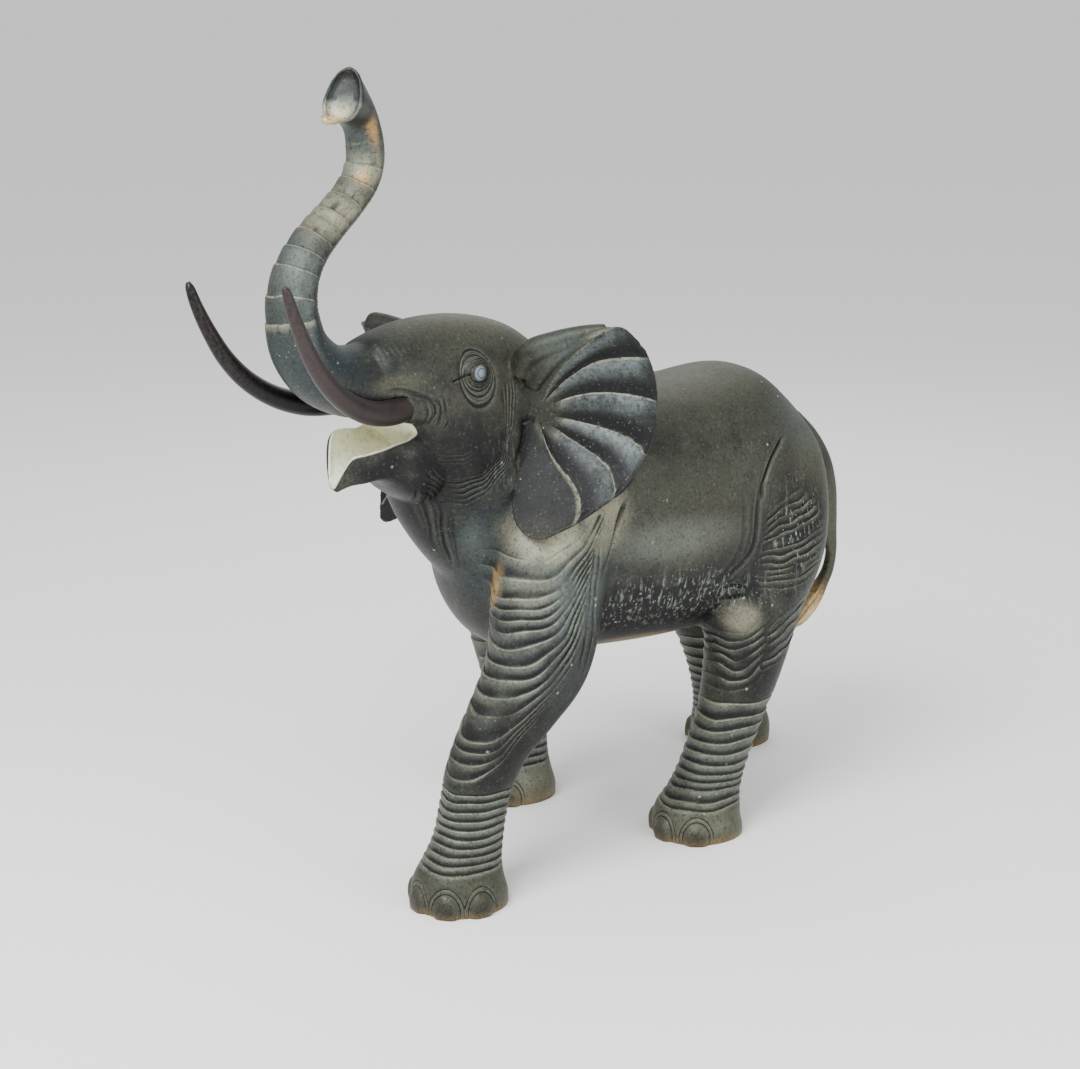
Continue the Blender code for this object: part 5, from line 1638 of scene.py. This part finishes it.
def patterns_of(tree, recipe):
    """The patterns of a recipe by name: its clouds, its specks and what is worked out."""
    place = node(tree, "TexCoord").outputs["Object"]
    patterns = {}
    for name, (millimetres, detail, roughness, stretch) in recipe["clouds"].items():
        inputs = {"Vector": node(tree, "Mapping", {"Vector": place, "Scale": stretch})}
        inputs |= {"Scale": 1000 / millimetres, "Detail": detail, "Roughness": roughness}
        patterns[name] = node(tree, "TexNoise", inputs)
    for name, (millimetres, share, stretch) in recipe["specks"].items():
        inputs = {"Vector": node(tree, "Mapping", {"Vector": place, "Scale": stretch})}
        inputs |= {"Scale": 1000 / millimetres, "Randomness": 1.0}
        cells = node(tree, "TexVoronoi", inputs)
        found = {"chance": cells.outputs["Color"], "reach": cells.outputs["Distance"]}
        shown = ("chance", 1 - share, 1 + SPECK_SOFT - share)
        patterns[name] = covered(tree, found, 1.0, (shown, ("reach", *SPECK_EDGE)))
    for name, operation, *parts in recipe["worked_out"]:
        inputs = {
            number: covered(tree, patterns, 1.0, ((part,),)) if isinstance(part, str) else part
            for number, part in enumerate(parts)
        }
        patterns[name] = node(tree, "Math", inputs, operation=operation)
    return patterns


def one_colour(name, hex_colour, roughness, metallic):
    """A material of one colour, and its shader."""
    material = bpy.data.materials.new(name)
    material.use_nodes = True
    shader = material.node_tree.nodes["Principled BSDF"]
    shader.inputs["Base Color"].default_value = in_linear(hex_colour)
    shader.inputs["Roughness"].default_value = roughness
    shader.inputs["Metallic"].default_value = metallic
    return material, shader


def bronze(name, recipe):
    """A bronze by its recipe: layers of colour over its base, what makes it rougher, and bumps."""
    material, shader = one_colour(name, *recipe["base"])
    tree = material.node_tree
    patterns = patterns_of(tree, recipe)
    base, rough, _ = recipe["base"]
    colour = in_linear(base)
    for tint, strength, *masks in recipe["layers"]:
        inputs = {0: covered(tree, patterns, strength, masks), 6: colour, 7: in_linear(tint)}
        colour = node(tree, "Mix", inputs, data_type="RGBA").outputs[2]
    for share, *masks in recipe["rougher"]:
        more = covered(tree, patterns, share, masks)
        rough = node(tree, "Math", {0: rough, 1: more}, operation="ADD")
    under = {}
    for high, strength, *masks in recipe["bumps"]:
        inputs = {"Height": covered(tree, patterns, 1.0, masks), "Distance": abs(high), **under}
        bump = node(tree, "Bump", {"Strength": strength, **inputs}, invert=high < 0)
        under = {"Normal": bump}
    tree.links.new(colour, shader.inputs["Base Color"])
    tree.links.new(rough.outputs[0], shader.inputs["Roughness"])
    tree.links.new(bump.outputs[0], shader.inputs["Normal"])
    return material


def cast_elephant():
    """The elephant's own piece: fused, pressed with its folds, thinned, and cut for its tusks."""
    head = head_place()
    body = joined("body", body_masses())
    fuse(body, BODY_VOXEL, BODY_EASE)
    rounded(body)
    elephant = joined("elephant_cast", added_masses(taken(body), scooped_jaw()))
    fuse(elephant, SKIN_VOXEL, SKIN_EASE)
    refine_face(elephant)
    press(elephant)
    thin(elephant, TRIANGLES)
    level_soles(elephant)
    sockets = [tusk_form(side, head, SOCKET_GAP) for side in (1, -1)]
    cut(elephant, [*sockets, trunk_dish(head)])
    patinate(elephant)
    return elephant


def cast_tusk(name, side):
    """A tusk, with its pale seam ring, its tip, and its dust and painted light written into its mesh.
    """
    tusk = joined(name, [tusk_form(side, head_place())])
    points, _ = read_points(tusk.data)
    local = in_head(points)
    root = np.array(mirrored(TUSK[:1], side, TUSK_LIFT[side])[0][:3])
    reach = np.linalg.norm(local - root, axis=1)
    write(tusk.data, "seam", window(reach, *TUSK_SEAM))
    write(tusk.data, "tip", smoothstep(reach, *TUSK_TIP))
    # The left tusk's dust, and the right one left dark as painted shade.
    write(tusk.data, "dusty_and_lit", np.full(len(points), TUSK_DUST_AND_LIGHT[side]))
    return tusk


def place_of_frame():
    """How far the frame lies from where things are modelled: by the left tusk, which both have."""
    plain_tusk = tusk_form(1, head_place(), steps=2, count=12)
    low = [min(vert.co[k] for vert in plain_tusk.verts) for k in range(3)]
    plain_tusk.free()
    return Vector(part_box("left_tusk")[0]) - Vector(low)


def settle(obj, offset, material, node_name):
    """Moves a piece to its place, shades it smooth, colours it, hangs it under the root body and hides
    its solid.
    """
    obj.data.transform(Matrix.Translation(offset))
    obj.data.polygons.foreach_set("use_smooth", [True] * len(obj.data.polygons))
    obj.data.materials.clear()
    obj.data.materials.append(material)
    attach(obj, "root")
    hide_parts(node_name)


def floor():
    bm = bmesh.new()
    bmesh.ops.create_grid(bm, x_segments=1, y_segments=1, size=FLOOR_HALF)
    ground = joined("floor", [bm])
    ground.data.materials.append(one_colour("floor_paper", *FLOOR_PAPER)[0])


def softbox(name, place, aim, size, power):
    """A square area light that looks at a point."""
    light = bpy.data.lights.new(name, "AREA")
    light.size = size
    light.energy = power
    obj = bpy.data.objects.new(name, light)
    obj.location = place
    obj.rotation_euler = (Vector(aim) - Vector(place)).to_track_quat("-Z", "Y").to_euler()
    bpy.context.scene.collection.objects.link(obj)


def studio(offset):
    """Soft lights, a pale surround and the camera."""
    for name, place, size, power in LIGHTS:
        softbox(name, Vector(place) + offset, Vector(LIGHTS_AIM) + offset, size, power)
    world = bpy.data.worlds.new("surround")
    world.use_nodes = True
    back = world.node_tree.nodes["Background"]
    back.inputs["Color"].default_value = in_linear(SURROUND_COLOUR)
    back.inputs["Strength"].default_value = SURROUND
    bpy.context.scene.world = world
    lens = bpy.data.cameras.new("camera")
    lens.lens = CAMERA_LENS
    camera = bpy.data.objects.new("camera", lens)
    place = Vector(CAMERA_PLACE) + offset
    camera.location = place
    aim = Vector(CAMERA_AIM) + offset
    camera.rotation_euler = (aim - place).to_track_quat("-Z", "Y").to_euler()
    bpy.context.scene.collection.objects.link(camera)
    bpy.context.scene.camera = camera


def main():
    offset = place_of_frame()
    settle(cast_elephant(), offset, bronze("cast_bronze_patinated", HIDE), "elephant")
    rubbed = bronze("cast_bronze_rubbed", TUSK_FINISH)
    for name, side in (("left_tusk", 1), ("right_tusk", -1)):
        settle(cast_tusk(name + "_cast", side), offset, rubbed, name)
    floor()
    studio(offset)


main()
